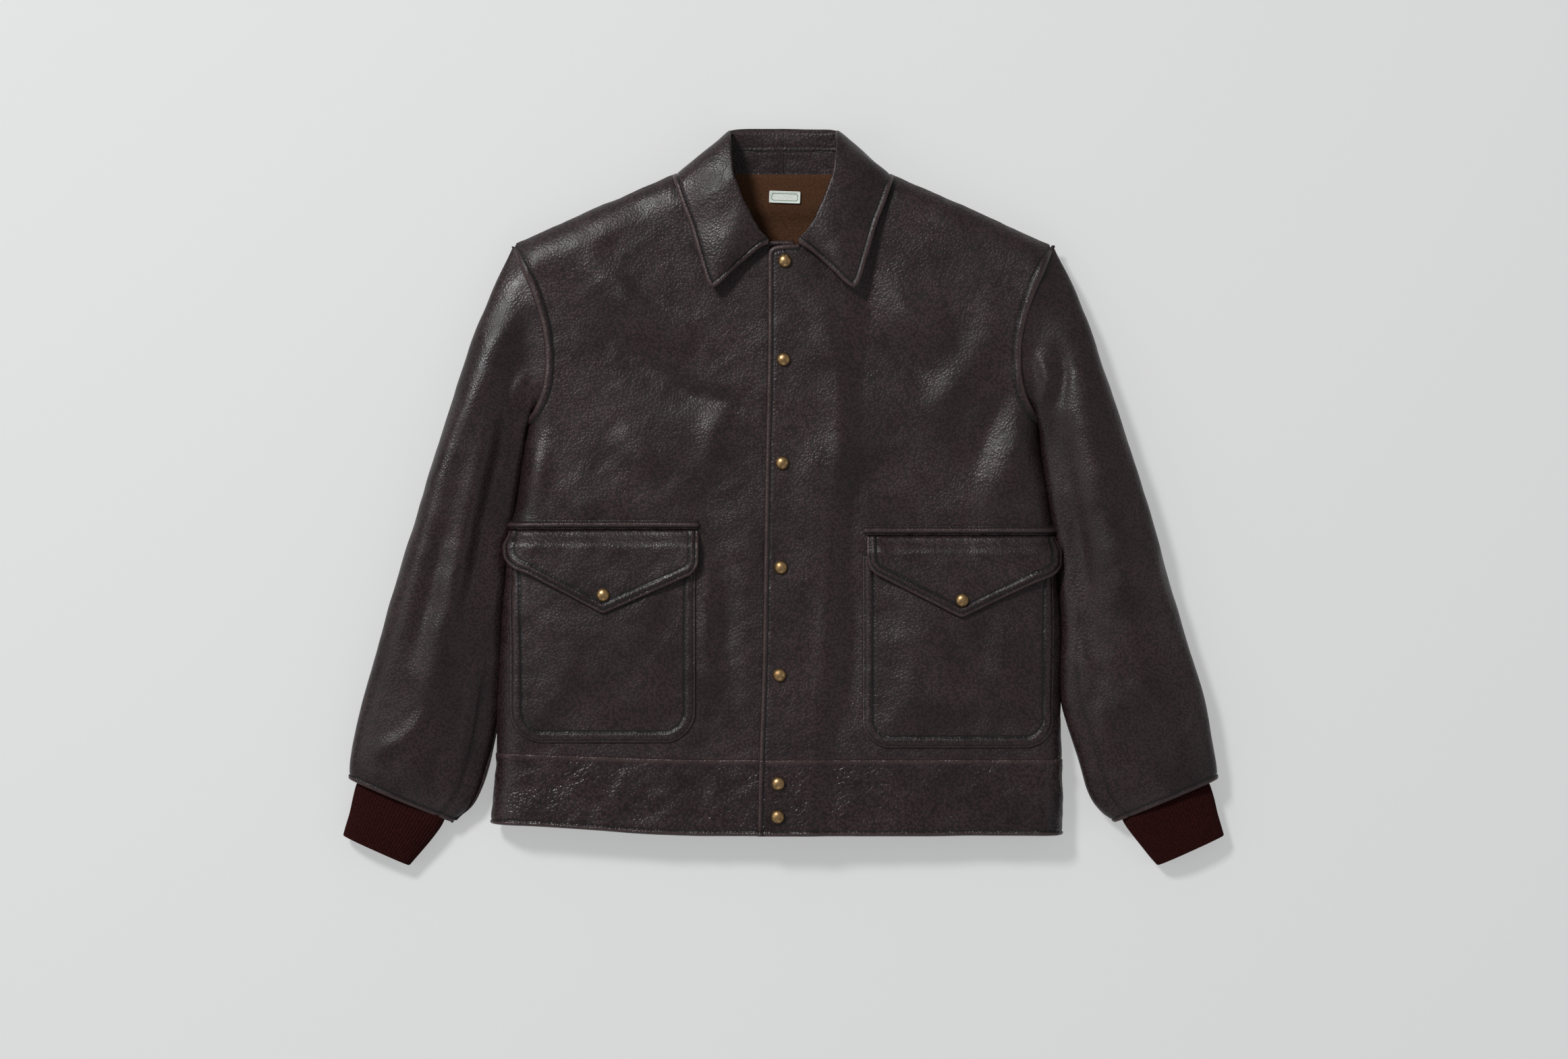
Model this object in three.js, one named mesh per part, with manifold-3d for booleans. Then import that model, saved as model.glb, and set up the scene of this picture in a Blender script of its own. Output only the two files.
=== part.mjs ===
// A blouson-style leather jacket lying on its back, buttoned up: body, sleeves, rib cuffs, waistband, collar,
// two flapped patch pockets, linings, facings and brass snaps.
// Millimetres. X runs across the jacket towards the wearer's left, Y from the hem towards the collar, and Z up
// from the surface that the back lies on. The origin is on that surface, below the middle of the jacket's box.
import * as THREE from 'three';
import { mergeVertices } from 'three/addons/utils/BufferGeometryUtils.js';
import Module from 'manifold-3d';

const wasm = await Module();
wasm.setup();

// ---- Driving dimensions -------------------------------------------------------------------------------------
const HEM_Y = -316; // hem edge
const BAND_SEAM_Y = -246; // waistband seam, so the band is 70 deep
const SHOULDER_TIP = [255, 236];
const NECK_POINT = [105, 303]; // inner end of the shoulder seam
const UNDERARM = [240, 74];
const NECK_HALF = 99; // half-width of the neckline
const NECK_DROP = 67; // from the shoulder's neck point down to the middle of the front neckline
const SEAM_Z = 17; // height of the side and shoulder seams above the surface
const SEAM_GAP = 0.7; // between the front and the back along those seams
const FRONT_Z = 38; // height of the front above the surface
const FRONT_ROLL = 24; // width of the front's rounded sides
const SHOULDER_ROLL = 34; // width of the front's rounded shoulders
const BACK_ROLL = 22; // width of the back's rounded sides and shoulders
const NECK_STEP = 4; // the back stands this far up at the neck, over the folded collar

const LEATHER = 1.6;
const FACING = 1.2;
const LINING = 1.0;
const BAND = 2.6; // two layers of leather
const GAP = 0.4; // between pieces that are sewn together

// Half-width of the body at falling heights: [y, half-width].
const BODY_EDGE = {
  left: [SHOULDER_TIP, UNDERARM].map(([x, y]) => [y, x])
    .concat([[40, 243], [0, 249], [-36, 256], [-128, 262], [HEM_Y, 260]]),
  right: [SHOULDER_TIP, UNDERARM].map(([x, y]) => [y, x])
    .concat([[40, 244], [0, 251], [-36, 259], [-143, 266], [HEM_Y, 273]]),
};
const ARMHOLE = [SHOULDER_TIP, [236, 193], [224.5, 152], [223.5, 115], [230, 90], UNDERARM];

// A front opens by folding back along the line between these two points.
const FOLD_HEM = [50, HEM_Y];
const FOLD_NECK = [92, 278];
const FOLD_GAP = 1.2; // on each side of the fold line
const FOLD_TOP_Y = 234; // the cut leaves the fold line here, and runs to the neckline clear of the collar's back
const NECK_CUT_X = 62; // where that cut meets the neckline
const LEFT_EDGE = { top: -15, hem: -24 }; // free edge of the left front, which lies on top
const RIGHT_EDGE = 12; // free edge of the right front, underneath

const SOCKET_ROOM = 2.2; // between the two fronts, for the snaps' sockets
const FRONT_LIFT = SOCKET_ROOM + FACING + GAP + LEATHER; // of the left front over the right one
const LIFT_RUN = 26; // over this width the left front comes down to the fold line
const SNAP_Y = [221, 129, 32.5, -65, -165.5, -266.5, -297.5];
const SNAP_X = { top: 1.3, hem: -5.5 };
const SNAP_SIDES = 10;
const SNAP_HOLE = 2.4; // radius of the holes that the posts go through
const CAP_RADIUS = 6.3;
const CAP_HEIGHT = 6;
const SOCKET_RADIUS = 5;

const POCKETS = {
  left: { inner: 74, outer: 253, seam: -35, bottom: -233.5, corner: 23, snap: [166.8, -95.5] },
  right: { inner: 81, outer: 255, seam: -29.5, bottom: -229, corner: 26, snap: [168, -90.5] },
};
const POCKET_ROOM = 5; // clear height in a pocket
const POCKET_RIM = 4; // width of the edge that is sewn down
const MOUTH_DROP = 18; // from the flap's seam to the pocket's mouth
const FLAP_SIDE = 33; // length of the flap's straight sides
const FLAP_DEPTH = 77; // from the flap's seam to its point
const FLAP = 2;
const FLAP_REST = POCKET_ROOM + LEATHER + SOCKET_ROOM; // height of the flap's underside over the front
const WELT = { width: 8, height: 3 };

const CUFF = 3; // thickness of the rib knit
const COLLAR_LEAF = 2;
const LABEL = { width: 29, height: 11, thick: 0.6, at: [1.3, 283], turn: -2 };

// ---- Small tools --------------------------------------------------------------------------------------------
const lerp = (a, b, t) => a + (b - a) * t;
const clamp01 = (t) => Math.min(1, Math.max(0, t));
const smooth = (t) => clamp01(t) ** 2 * (3 - 2 * clamp01(t));
const rad = THREE.MathUtils.degToRad;
const steps = (n, from, to) => Array.from({ length: n + 1 }, (_, i) => lerp(from, to, i / n));

// Reads a list of [position, value] rows, whose positions fall, at one position.
function along(rows, at) {
  let i = 0;
  while (i < rows.length - 2 && at < rows[i + 1][0]) i += 1;
  const t = (at - rows[i][0]) / (rows[i + 1][0] - rows[i][0]);
  return lerp(rows[i][1], rows[i + 1][1], clamp01(t));
}

function solidOf(geometry) {
  const bare = new THREE.BufferGeometry().setAttribute('position', geometry.getAttribute('position'));
  bare.setIndex(geometry.index);
  const merged = mergeVertices(bare, 1e-3);
  return new wasm.Manifold(new wasm.Mesh({
    numProp: 3,
    vertProperties: merged.attributes.position.array,
    triVerts: new Uint32Array(merged.index.array),
  }));
}

function geometryOf(solid) {
  const mesh = solid.getMesh();
  const geometry = new THREE.BufferGeometry();
  geometry.setAttribute('position', new THREE.BufferAttribute(mesh.vertProperties, 3));
  geometry.setIndex(new THREE.BufferAttribute(mesh.triVerts, 1));
  geometry.computeVertexNormals();
  return geometry;
}

// For each point of a grid, the step that moves all the faces round it outwards by one.
function outwardSteps(rows, loop) {
  const n = rows.length;
  const m = rows[0].length;
  const faceNormal = (i, j) => {
    const [a, b] = [rows[i][j], rows[i][(j + 1) % m]];
    const [c, d] = [rows[i + 1][(j + 1) % m], rows[i + 1][j]];
    return d.clone().sub(b).cross(c.clone().sub(a)).normalize();
  };
  return rows.map((row, i) => row.map((_, j) => {
    const around = [];
    for (const k of [i - 1, i]) {
      for (const l of loop ? [(j + m - 1) % m, j] : [j - 1, j]) {
        if (k >= 0 && k < n - 1 && l >= 0 && (loop || l < m - 1)) around.push(faceNormal(k, l));
      }
    }
    const sum = around.reduce((total, normal) => total.add(normal), new THREE.Vector3()).normalize();
    const agreement = around.reduce((total, normal) => total + normal.dot(sum), 0) / around.length;
    return sum.divideScalar(Math.max(agreement, 0.6));
  }));
}

// A closed sheet between two offsets from a grid of points. Offsets are numbers or functions of a point, and
// they grow towards the side from which the rows run down and the columns run to the left.
function layer(rows, lower, upper, loop = false) {
  const n = rows.length;
  const m = rows[0].length;
  const step = outwardSteps(rows, loop);
  const points = [];
  for (const offset of [lower, upper]) {
    const at = typeof offset === 'function' ? offset : () => offset;
    rows.forEach((row, i) => row.forEach((p, j) => points.push(p.clone().addScaledVector(step[i][j], at(p)))));
  }
  const id = (side, i, j) => side * n * m + i * m + (j % m);
  const faces = [];
  const quad = (a, b, c, d) => faces.push(a, b, c, a, c, d);
  const columns = loop ? m : m - 1;
  for (let j = 0; j < columns; j += 1) {
    for (let i = 0; i < n - 1; i += 1) {
      quad(id(1, i, j), id(1, i + 1, j), id(1, i + 1, j + 1), id(1, i, j + 1));
      quad(id(0, i, j), id(0, i, j + 1), id(0, i + 1, j + 1), id(0, i + 1, j));
    }
    quad(id(0, 0, j), id(1, 0, j), id(1, 0, j + 1), id(0, 0, j + 1));
    quad(id(0, n - 1, j), id(0, n - 1, j + 1), id(1, n - 1, j + 1), id(1, n - 1, j));
  }
  for (let i = 0; i < n - 1 && !loop; i += 1) {
    quad(id(0, i, 0), id(0, i + 1, 0), id(1, i + 1, 0), id(1, i, 0));
    quad(id(0, i, m - 1), id(1, i, m - 1), id(1, i + 1, m - 1), id(0, i + 1, m - 1));
  }
  const geometry = new THREE.BufferGeometry();
  geometry.setAttribute('position', new THREE.Float32BufferAttribute(points.flatMap((p) => p.toArray()), 3));
  geometry.setIndex(faces);
  return solidOf(geometry);
}

// An upright block with the outline of a shape or a list of points, for cutting a piece out of a layer.
function block(outline, low = -30, high = 130) {
  const shape = outline instanceof THREE.Shape ? outline : new THREE.Shape(outline.map(([x, y]) => new THREE.Vector2(x, y)));
  const geometry = new THREE.ExtrudeGeometry(shape, { depth: high - low, bevelEnabled: false, curveSegments: 6 });
  return solidOf(geometry.translate(0, 0, low));
}

// Pieces are drawn for the left side; this turns one over to the right when that is wanted.
const onSide = (solid, side) => (side === 'left' ? solid : solid.mirror([1, 0, 0]));
const mirrored = (points, side) => points.map(([x, ...rest]) => [side === 'left' ? x : -x, ...rest]);

// ---- The body's outer surface -------------------------------------------------------------------------------
const backPlane = (y, x) => NECK_STEP * smooth((y - 256) / 18) * (1 - smooth((Math.abs(x) - 112) / 16));
const foldX = (y) => lerp(FOLD_HEM[0], FOLD_NECK[0], (y - FOLD_HEM[1]) / (FOLD_NECK[1] - FOLD_HEM[1]));

const shoulderY = (x) => (
  lerp(NECK_POINT[1], SHOULDER_TIP[1], clamp01((Math.abs(x) - NECK_POINT[0]) / (SHOULDER_TIP[0] - NECK_POINT[0]))));
// The back keeps flat up to its neckline, so its grid is carried on past it.
const backTop = (x) => shoulderY(x) + BACK_ROLL * clamp01((NECK_POINT[0] - Math.abs(x)) / (NECK_POINT[0] - NECK_HALF));

const ROLL_ANGLES = [0, 22, 45, 68, 90];

// A grid over the front or the back, from the right side seam to the left one and from the top down.
function bodyGrid({ sideRoll, topRoll, seamZ, planeAt, topAt, heights, columns }) {
  const makePoint = (side, share, angle, drop, topAngle, height) => {
    const reach = (edge) => share * (edge - sideRoll) + sideRoll * Math.cos(rad(angle));
    const y = lerp(topAt(reach(SHOULDER_TIP[0])) - drop, HEM_Y, height);
    const x = reach(along(BODY_EDGE[side], y)) * (side === 'left' ? 1 : -1);
    const fullness = Math.sin(rad(angle)) * Math.sin(rad(topAngle));
    return new THREE.Vector3(x, y, lerp(seamZ, planeAt(y, x), fullness));
  };
  const makeRow = (...place) => [
    ...ROLL_ANGLES.map((angle) => makePoint('right', 1, angle, ...place)),
    ...columns.map((share) => makePoint('right', share, 90, ...place)),
    makePoint('left', 0, 90, ...place),
    ...[...columns].reverse().map((share) => makePoint('left', share, 90, ...place)),
    ...[...ROLL_ANGLES].reverse().map((angle) => makePoint('left', 1, angle, ...place)),
  ];
  return [
    ...ROLL_ANGLES.map((angle) => makeRow(topRoll * (1 - Math.cos(rad(angle))), angle, 0)),
    ...heights.map((height) => makeRow(topRoll, 90, height)),
  ];
}

const frontGrid = bodyGrid({
  sideRoll: FRONT_ROLL,
  topRoll: SHOULDER_ROLL,
  seamZ: SEAM_Z + 0.5,
  planeAt: () => FRONT_Z,
  topAt: shoulderY,
  heights: [0.08, 0.16, 0.247, 0.312, 0.5, 0.68, 0.86, 1],
  columns: [0.7, 0.45],
});
const neckColumns = [NECK_POINT[0], NECK_HALF].map((x) => x / (SHOULDER_TIP[0] - BACK_ROLL));
const backGrid = bodyGrid({
  sideRoll: BACK_ROLL,
  topRoll: BACK_ROLL,
  seamZ: SEAM_Z - 0.5,
  planeAt: backPlane,
  topAt: backTop,
  heights: [0.02, 0.05, 0.08, 0.12, 0.264, 0.328, 0.55, 0.8, 1],
  columns: [0.8, 0.55, ...neckColumns],
}).map((row) => row.reverse());

// Height of the front's outer surface, for what is placed on it.
function frontHeight(x, y, side) {
  const rolled = (inset, width) => Math.sin(Math.acos(clamp01(1 - inset / width)));
  const sideFullness = rolled(along(BODY_EDGE[side], y) - Math.abs(x), FRONT_ROLL);
  return lerp(SEAM_Z + 0.5, FRONT_Z, sideFullness * rolled(shoulderY(x) - y, SHOULDER_ROLL));
}
const frontPatch = (xs, ys, side) => ys.map((y) => xs.map((x) => new THREE.Vector3(x, y, frontHeight(x, y, side))));

// ---- Outlines, drawn for the left side ----------------------------------------------------------------------
const OUTSIDE = 330; // clear of the body

// The neckline from the middle of the front to the neck point is a quarter of an ellipse.
const neckline = (n, from, to) => (
  steps(n, from, to).map((a) => [NECK_HALF * Math.sin(a), NECK_POINT[1] - NECK_DROP * Math.cos(a)]));
const necklineAngle = (x) => Math.asin(x / NECK_HALF);
const CUT_ANGLE = necklineAngle(NECK_CUT_X);

const FRONT_OUTLINE = [
  [foldX(BAND_SEAM_Y) + FOLD_GAP, BAND_SEAM_Y + GAP], [foldX(FOLD_TOP_Y) + FOLD_GAP, FOLD_TOP_Y + FOLD_GAP],
  ...neckline(6, CUT_ANGLE, Math.PI / 2).map(([x, y]) => [x + FOLD_GAP, y]),
  [NECK_HALF + FOLD_GAP, OUTSIDE], [SHOULDER_TIP[0] + 3, OUTSIDE], ...ARMHOLE,
  [OUTSIDE, UNDERARM[1]], [OUTSIDE, BAND_SEAM_Y + GAP],
];
const BACK_HALF = [
  [OUTSIDE, BAND_SEAM_Y + GAP], [OUTSIDE, UNDERARM[1]], ...[...ARMHOLE].reverse(),
  [SHOULDER_TIP[0] + 3, OUTSIDE], [NECK_POINT[0] + 1, OUTSIDE], [NECK_POINT[0] + 1, NECK_POINT[1]],
];
const BACK_OUTLINE = [...BACK_HALF, ...mirrored([...BACK_HALF].reverse(), 'right')];

// The end of a front, from its free edge to the fold line, between two heights.
function endOutline(freeAt, low, top) {
  return [[freeAt(low), low], [foldX(low) - FOLD_GAP, low], ...top];
}
const necklineEnd = (from) => [
  [foldX(FOLD_TOP_Y) - FOLD_GAP, FOLD_TOP_Y],
  ...neckline(5, CUT_ANGLE, necklineAngle(from)).map(([x, y]) => [x - FOLD_GAP, y - 0.3]),
];
const leftFree = (y) => lerp(LEFT_EDGE.top, LEFT_EDGE.hem, clamp01((225 - y) / (225 - HEM_Y)));
const ENDS = {
  left: {
    freeAt: leftFree,
    top: [...necklineEnd(12), [-8, 235], [-13.5, 231], [LEFT_EDGE.top, 225]],
    lift: (p) => FRONT_LIFT * smooth((foldX(p.y) - 4 - p.x) / LIFT_RUN),
  },
  right: {
    freeAt: () => -RIGHT_EDGE,
    top: [...necklineEnd(2), [-RIGHT_EDGE + 3, 236.5], [-RIGHT_EDGE, 233]],
    lift: () => 0,
  },
};

// Columns close enough to carry the left front's step down to the fold line.
const END_COLUMNS = [-99, -60, -30, 0, 14, 22, 30, 38, 46, 54, 62, 70, 78, 86, 99];
const endGrid = (lift) => [290, 236, 60, -100, HEM_Y].map((y) => (
  END_COLUMNS.map((x) => {
    const p = new THREE.Vector3(x, y, FRONT_Z);
    return p.setZ(p.z + lift(p));
  })));

// ---- Snaps --------------------------------------------------------------------------------------------------
// Turned about Z. Zero is the face of the lower piece, which the stud stands on.
const turned = (profile) => solidOf(new THREE.LatheGeometry(
  profile.map(([r, z]) => new THREE.Vector2(r, z)), SNAP_SIDES).rotateX(Math.PI / 2));

function snapCap(grip) {
  const seat = SOCKET_ROOM + grip + GAP;
  const dome = [20, 50, 76].map((a) => (
    [CAP_RADIUS * Math.cos(rad(a)), seat + 1 + (CAP_HEIGHT - 1) * Math.sin(rad(a))]));
  return turned([
    [0, 1.4], [2.6, 1.4], [2.6, 0.3], [SOCKET_RADIUS, 0.3], [SOCKET_RADIUS, SOCKET_ROOM - 0.2],
    [1.7, SOCKET_ROOM - 0.2], [1.7, seat], [CAP_RADIUS, seat], [CAP_RADIUS, seat + 1], ...dome,
    [0, seat + CAP_HEIGHT],
  ]);
}

function snapStud(grip) {
  const seat = -grip - GAP;
  return turned([
    [0, seat - 1.4], [SOCKET_RADIUS, seat - 1.4], [SOCKET_RADIUS, seat], [1.6, seat],
    [1.6, 0.4], [2.1, 0.7], [1.9, 1.1], [0, 1.1],
  ]);
}

function drilled(solid, places) {
  const hole = new THREE.CylinderGeometry(SNAP_HOLE, SNAP_HOLE, 160, 8).rotateX(Math.PI / 2);
  const drill = solidOf(hole);
  return places.reduce((left, [x, y]) => left.subtract(drill.translate([x, y, 50])), solid);
}

const snapPlaces = SNAP_Y.map((y) => (
  [lerp(SNAP_X.hem, SNAP_X.top, (y - HEM_Y) / (SNAP_Y[0] - HEM_Y)), y]));

// ---- Building the pieces ------------------------------------------------------------------------------------
const jacket = new THREE.Group();
jacket.name = 'leather_jacket';

const look = (color, roughness, metalness = 0) => new THREE.MeshStandardMaterial({ color, roughness, metalness });
const hide = look(0x3a2e2e, 0.5);
const wool = look(0x3b2518, 0.95);
const rib = look(0x2f1512, 0.95);
const brass = look(0x9c8050, 0.35, 1);
const cotton = look(0xdfe3da, 0.9);

function add(name, solid, material) {
  const mesh = new THREE.Mesh(geometryOf(solid), material);
  mesh.name = name;
  jacket.add(mesh);
}

const cutFrom = (grid, lower, upper, outline, low, high) => (
  layer(grid, lower, upper).intersect(block(outline, low, high)));
const cutBack = (...cut) => cutFrom(backGrid, ...cut, -30, SEAM_Z - SEAM_GAP / 2);
const cutFront = (...cut) => cutFrom(frontGrid, ...cut, SEAM_Z + SEAM_GAP / 2, 130);

function makeBack() {
  add('back_panel', cutBack(-LEATHER, 0, BACK_OUTLINE), hide);
  add('back_lining', cutBack(-LEATHER - GAP - LINING, -LEATHER - GAP, BACK_OUTLINE), wool);
  const band = [[-OUTSIDE, HEM_Y - 1], [OUTSIDE, HEM_Y - 1], [OUTSIDE, BAND_SEAM_Y], [-OUTSIDE, BAND_SEAM_Y]];
  add('back_waistband', cutBack(-BAND, 0, band), hide);
}

function makeFront(side) {
  const outline = mirrored(FRONT_OUTLINE, side);
  add(`front_panel_${side}`, cutFront(-LEATHER, 0, outline), hide);
  add(`front_lining_${side}`, cutFront(-LEATHER - GAP - LINING, -LEATHER - GAP, outline), wool);
  const band = [
    [foldX(HEM_Y) + FOLD_GAP, HEM_Y - 1], [foldX(BAND_SEAM_Y) + FOLD_GAP, BAND_SEAM_Y],
    [OUTSIDE, BAND_SEAM_Y], [OUTSIDE, HEM_Y - 1],
  ];
  add(`waistband_${side}`, cutFront(-BAND, 0, mirrored(band, side)), hide);
}

// The end of a front that folds back, with its facing and the end of the waistband.
function makeFrontEnd(side) {
  const { freeAt, top, lift } = ENDS[side];
  const grid = endGrid(lift);
  const places = side === 'left' ? snapPlaces : mirrored(snapPlaces, 'right');
  const outline = endOutline(freeAt, BAND_SEAM_Y + GAP, top);
  const band = endOutline(freeAt, HEM_Y - 1, [[foldX(BAND_SEAM_Y) - FOLD_GAP, BAND_SEAM_Y], [freeAt(BAND_SEAM_Y), BAND_SEAM_Y]]);
  const make = (name, lower, upper, shape) => (
    add(`${name}_${side}`, onSide(drilled(cutFrom(grid, lower, upper, shape), places), side), hide));
  make('front_edge', -LEATHER, 0, outline);
  make('front_facing', -LEATHER - GAP - FACING, -LEATHER - GAP, outline);
  make('waistband_end', -LEATHER - GAP - FACING, 0, band);
}

function makeSnaps() {
  const grip = LEATHER + GAP + FACING;
  snapPlaces.forEach(([x, y], i) => {
    const place = [x, y, FRONT_Z];
    add(`snap_cap_${i + 1}`, snapCap(grip).translate(place), brass);
    add(`snap_stud_${i + 1}`, snapStud(grip).translate(place), brass);
  });
}

// A patch pocket is a shallow tray, sewn down by its rim and open at the top, under a flap that buttons to it.
function makePocket(side) {
  const { inner, outer, seam, bottom, corner, snap } = POCKETS[side];
  const tray = (inset, mouth) => {
    const [x0, x1, y0, r] = [inner + inset, outer - inset, bottom + inset, corner - inset];
    const shape = new THREE.Shape();
    shape.moveTo(x0, mouth);
    shape.lineTo(x0, y0 + r);
    shape.absarc(x0 + r, y0 + r, r, Math.PI, 1.5 * Math.PI, false);
    shape.absarc(x1 - r, y0 + r, r, 1.5 * Math.PI, 2 * Math.PI, false);
    shape.lineTo(x1, mouth);
    return shape;
  };
  const grid = side === 'left' ? frontGrid : frontGrid.map((row) => [...row].reverse().map((p) => p.clone().setX(-p.x)));
  const patch = cutFrom(grid, GAP, POCKET_ROOM + LEATHER, tray(0, seam - MOUTH_DROP));
  const room = cutFrom(grid, -2, POCKET_ROOM, tray(POCKET_RIM, 0));
  add(`pocket_${side}`, onSide(drilled(patch.subtract(room), [snap]), side), hide);

  const xs = [...steps(5, inner - 5, outer - 30), ...steps(6, outer - 24, outer + 2)];
  const ys = [seam + 12, seam + 6, seam, seam - 2, seam - 5, seam - 8, seam - 11, seam - 14, seam - 17, seam - 45, seam - 85];
  const flapGrid = frontPatch(xs, ys, side);
  const under = (p) => 1 + (FLAP_REST - 1) * smooth((seam - 1 - p.y) / 15);
  const [a, b] = [inner + 3.6, outer];
  const middle = snap[0];
  const flap = [
    [a, seam - 0.6], [b, seam - 0.6], [b, seam - FLAP_SIDE + 4], [b - 5, seam - FLAP_SIDE - 5],
    [middle + 7, seam - FLAP_DEPTH + 4], [middle, seam - FLAP_DEPTH + 1], [middle - 7, seam - FLAP_DEPTH + 4],
    [a + 5, seam - FLAP_SIDE - 5], [a, seam - FLAP_SIDE + 4],
  ];
  add(`pocket_flap_${side}`, onSide(drilled(cutFrom(flapGrid, under, (p) => under(p) + FLAP, flap), [snap]), side), hide);
  const welt = [[a - 3, seam], [b, seam], [b, seam + WELT.width], [a - 3, seam + WELT.width]];
  add(`pocket_welt_${side}`, onSide(cutFrom(flapGrid, 0.8, WELT.height, welt), side), hide);

  const place = [...snap, FRONT_Z + POCKET_ROOM + LEATHER];
  add(`flap_cap_${side}`, onSide(snapCap(FLAP).translate(place), side), brass);
  add(`flap_stud_${side}`, onSide(snapStud(LEATHER).translate(place), side), brass);
}

// ---- Collar -------------------------------------------------------------------------------------------------
// Each station goes round the neck from the front end to the middle of the back, and holds four points: the
// stand's seam and its top, both on the inside, and the leaf's roll and its free edge, both on the outside.
const FRONT_STATIONS = [
  { seam: [13.8, 237.5, 40], top: [15.5, 242, 45], roll: [15, 241.5, 49], edge: [16, 237.5, 48] },
  { seam: [41.5, 243.5, 40.5], top: [31.5, 259, 49], roll: [30, 257.5, 53.5], edge: [57, 199, 48.5] },
  { seam: [65, 254.5, 41], top: [40.5, 278, 49.5], roll: [39, 276, 54.5], edge: [68, 198, 48] },
  { seam: [80.5, 266, 41], top: [47, 294.5, 47.5], roll: [45.5, 293, 53.5], edge: [87, 255, 47.5] },
];
const BACK_STATIONS = [
  { seam: [84.5, 270, 41], top: [49, 299, 47], roll: [47.5, 297, 53], edge: [90, 261, 47] },
  { seam: [93, 284, 35.5], top: [50, 318, 41.5], roll: [50, 318, 48], edge: [98, 282, 43.5] },
  { seam: [95.5, 294, 29.5], top: [50.5, 332, 33.5], roll: [52.5, 335, 40], edge: [104, 296, 39.5] },
  { seam: [96, 300, 22], top: [50.5, 337.5, 24], roll: [53, 343, 29.5], edge: [107.5, 305.5, 29] },
  { seam: [93, 304, 12.5], top: [49.5, 339.5, 15.5], roll: [53, 345.6, 16], edge: [107, 307, 11] },
  { seam: [86, 304.3, 9], top: [47, 340.5, 12], roll: [51.5, 345.6, 9], edge: [99, 307, 1.5] },
  { seam: [68, 304.3, 7.4], top: [43, 341, 10.6], roll: [47, 345.6, 6], edge: [84, 291, 0] },
  { seam: [0, 304.3, 7.2], top: [0, 342, 9.4], roll: [0, 345.6, 5], edge: [0, 287, 0] },
];

// A strip between two points of each station.
function collarStrip(stations, from, to, thick, across = 3) {
  const rows = stations.map((station) => (
    steps(across, 0, 1).map((t) => new THREE.Vector3(...station[from]).lerp(new THREE.Vector3(...station[to]), t))));
  return layer(rows, 0, thick);
}

function makeCollarFront(side) {
  const rise = side === 'left' ? FRONT_LIFT : 0;
  const stations = FRONT_STATIONS.map((station, i) => {
    const lift = rise * (1 - i / (FRONT_STATIONS.length - 1));
    return Object.fromEntries(Object.entries(station).map(([key, [x, y, z]]) => [key, [x, y, z + lift]]));
  });
  add(`collar_stand_${side}`, onSide(collarStrip(stations, 'seam', 'top', LEATHER), side), hide);
  add(`collar_leaf_${side}`, onSide(collarStrip(stations, 'roll', 'edge', COLLAR_LEAF), side), hide);
}

function makeCollarBack() {
  const otherHalf = BACK_STATIONS.slice(0, -1).reverse().map((station) => (
    Object.fromEntries(Object.entries(station).map(([key, [x, y, z]]) => [key, [-x, y, z]]))));
  const stations = [...BACK_STATIONS, ...otherHalf];
  add('collar_stand_back', collarStrip(stations, 'seam', 'top', LEATHER), hide);
  add('collar_leaf_back', collarStrip(stations, 'roll', 'edge', COLLAR_LEAF), hide);
}

function makeLabel() {
  const z = NECK_STEP + LEATHER + GAP + LINING + GAP + LABEL.thick / 2;
  const label = solidOf(new THREE.BoxGeometry(LABEL.width, LABEL.height, LABEL.thick));
  add('neck_label', label.rotate([0, 0, LABEL.turn]).translate([...LABEL.at, z]), cotton);
}

// ---- Sleeves ------------------------------------------------------------------------------------------------
// Sections of a sleeve below the armhole: outer and inner edge in plan, height, and height of its underside.
function sleeveSections(side) {
  const beside = (y, least = 0) => [Math.max(along(BODY_EDGE[side], y) + 3, least), y];
  return [
    { outer: [285, 172], inner: beside(44), height: 42 },
    { outer: [312, 96], inner: beside(-2), height: 46 },
    { outer: [335, 16], inner: beside(-60), height: 48 },
    { outer: [358, -60], inner: beside(-120), height: 48 },
    { outer: [381, -138], inner: beside(-185), height: 47 },
    { outer: [398, -203], inner: beside(-240, 275), height: 46 },
    { outer: [406, -243], inner: beside(-283, 290), height: 42 },
    { outer: [408, -262], inner: [311, -305], height: 34 },
  ];
}
const CUFF_SECTIONS = [
  { outer: [392, -256], inner: [316, -290], height: 22, rest: 6.5 },
  { outer: [401, -268], inner: [319, -304.5], height: 23, rest: 5.6 },
  { outer: [404, -282], inner: [329, -318], height: 26, rest: 1.5 },
  { outer: [408.5, -299], inner: [341, -333], height: 26, rest: 0 },
  { outer: [414.5, -317], inner: [352, -345.6], height: 24, rest: 0 },
];
const SLEEVE_GAP = 1.7; // between a sleeve and its lining
const SQUARENESS = 2.5; // exponent of a sleeve's rounded section
const HALF_STEPS = 8; // facets over the top or the underside of a sleeve
const SEAM_ANGLE = rad(1.8); // half of the gap along a sleeve seam

// Angles run from the outer edge (0) over the top to the inner edge (180 degrees) and back underneath.
const superellipse = (v) => Math.sign(v) * Math.abs(v) ** (2 / SQUARENESS);

function sectionPoint({ outer, inner, height, rest = 0 }, angle) {
  const t = (1 - superellipse(Math.cos(angle))) / 2;
  const z = rest + (height / 2) * (1 + superellipse(Math.sin(angle)));
  return new THREE.Vector3(lerp(outer[0], inner[0], t), lerp(outer[1], inner[1], t), z);
}

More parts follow.
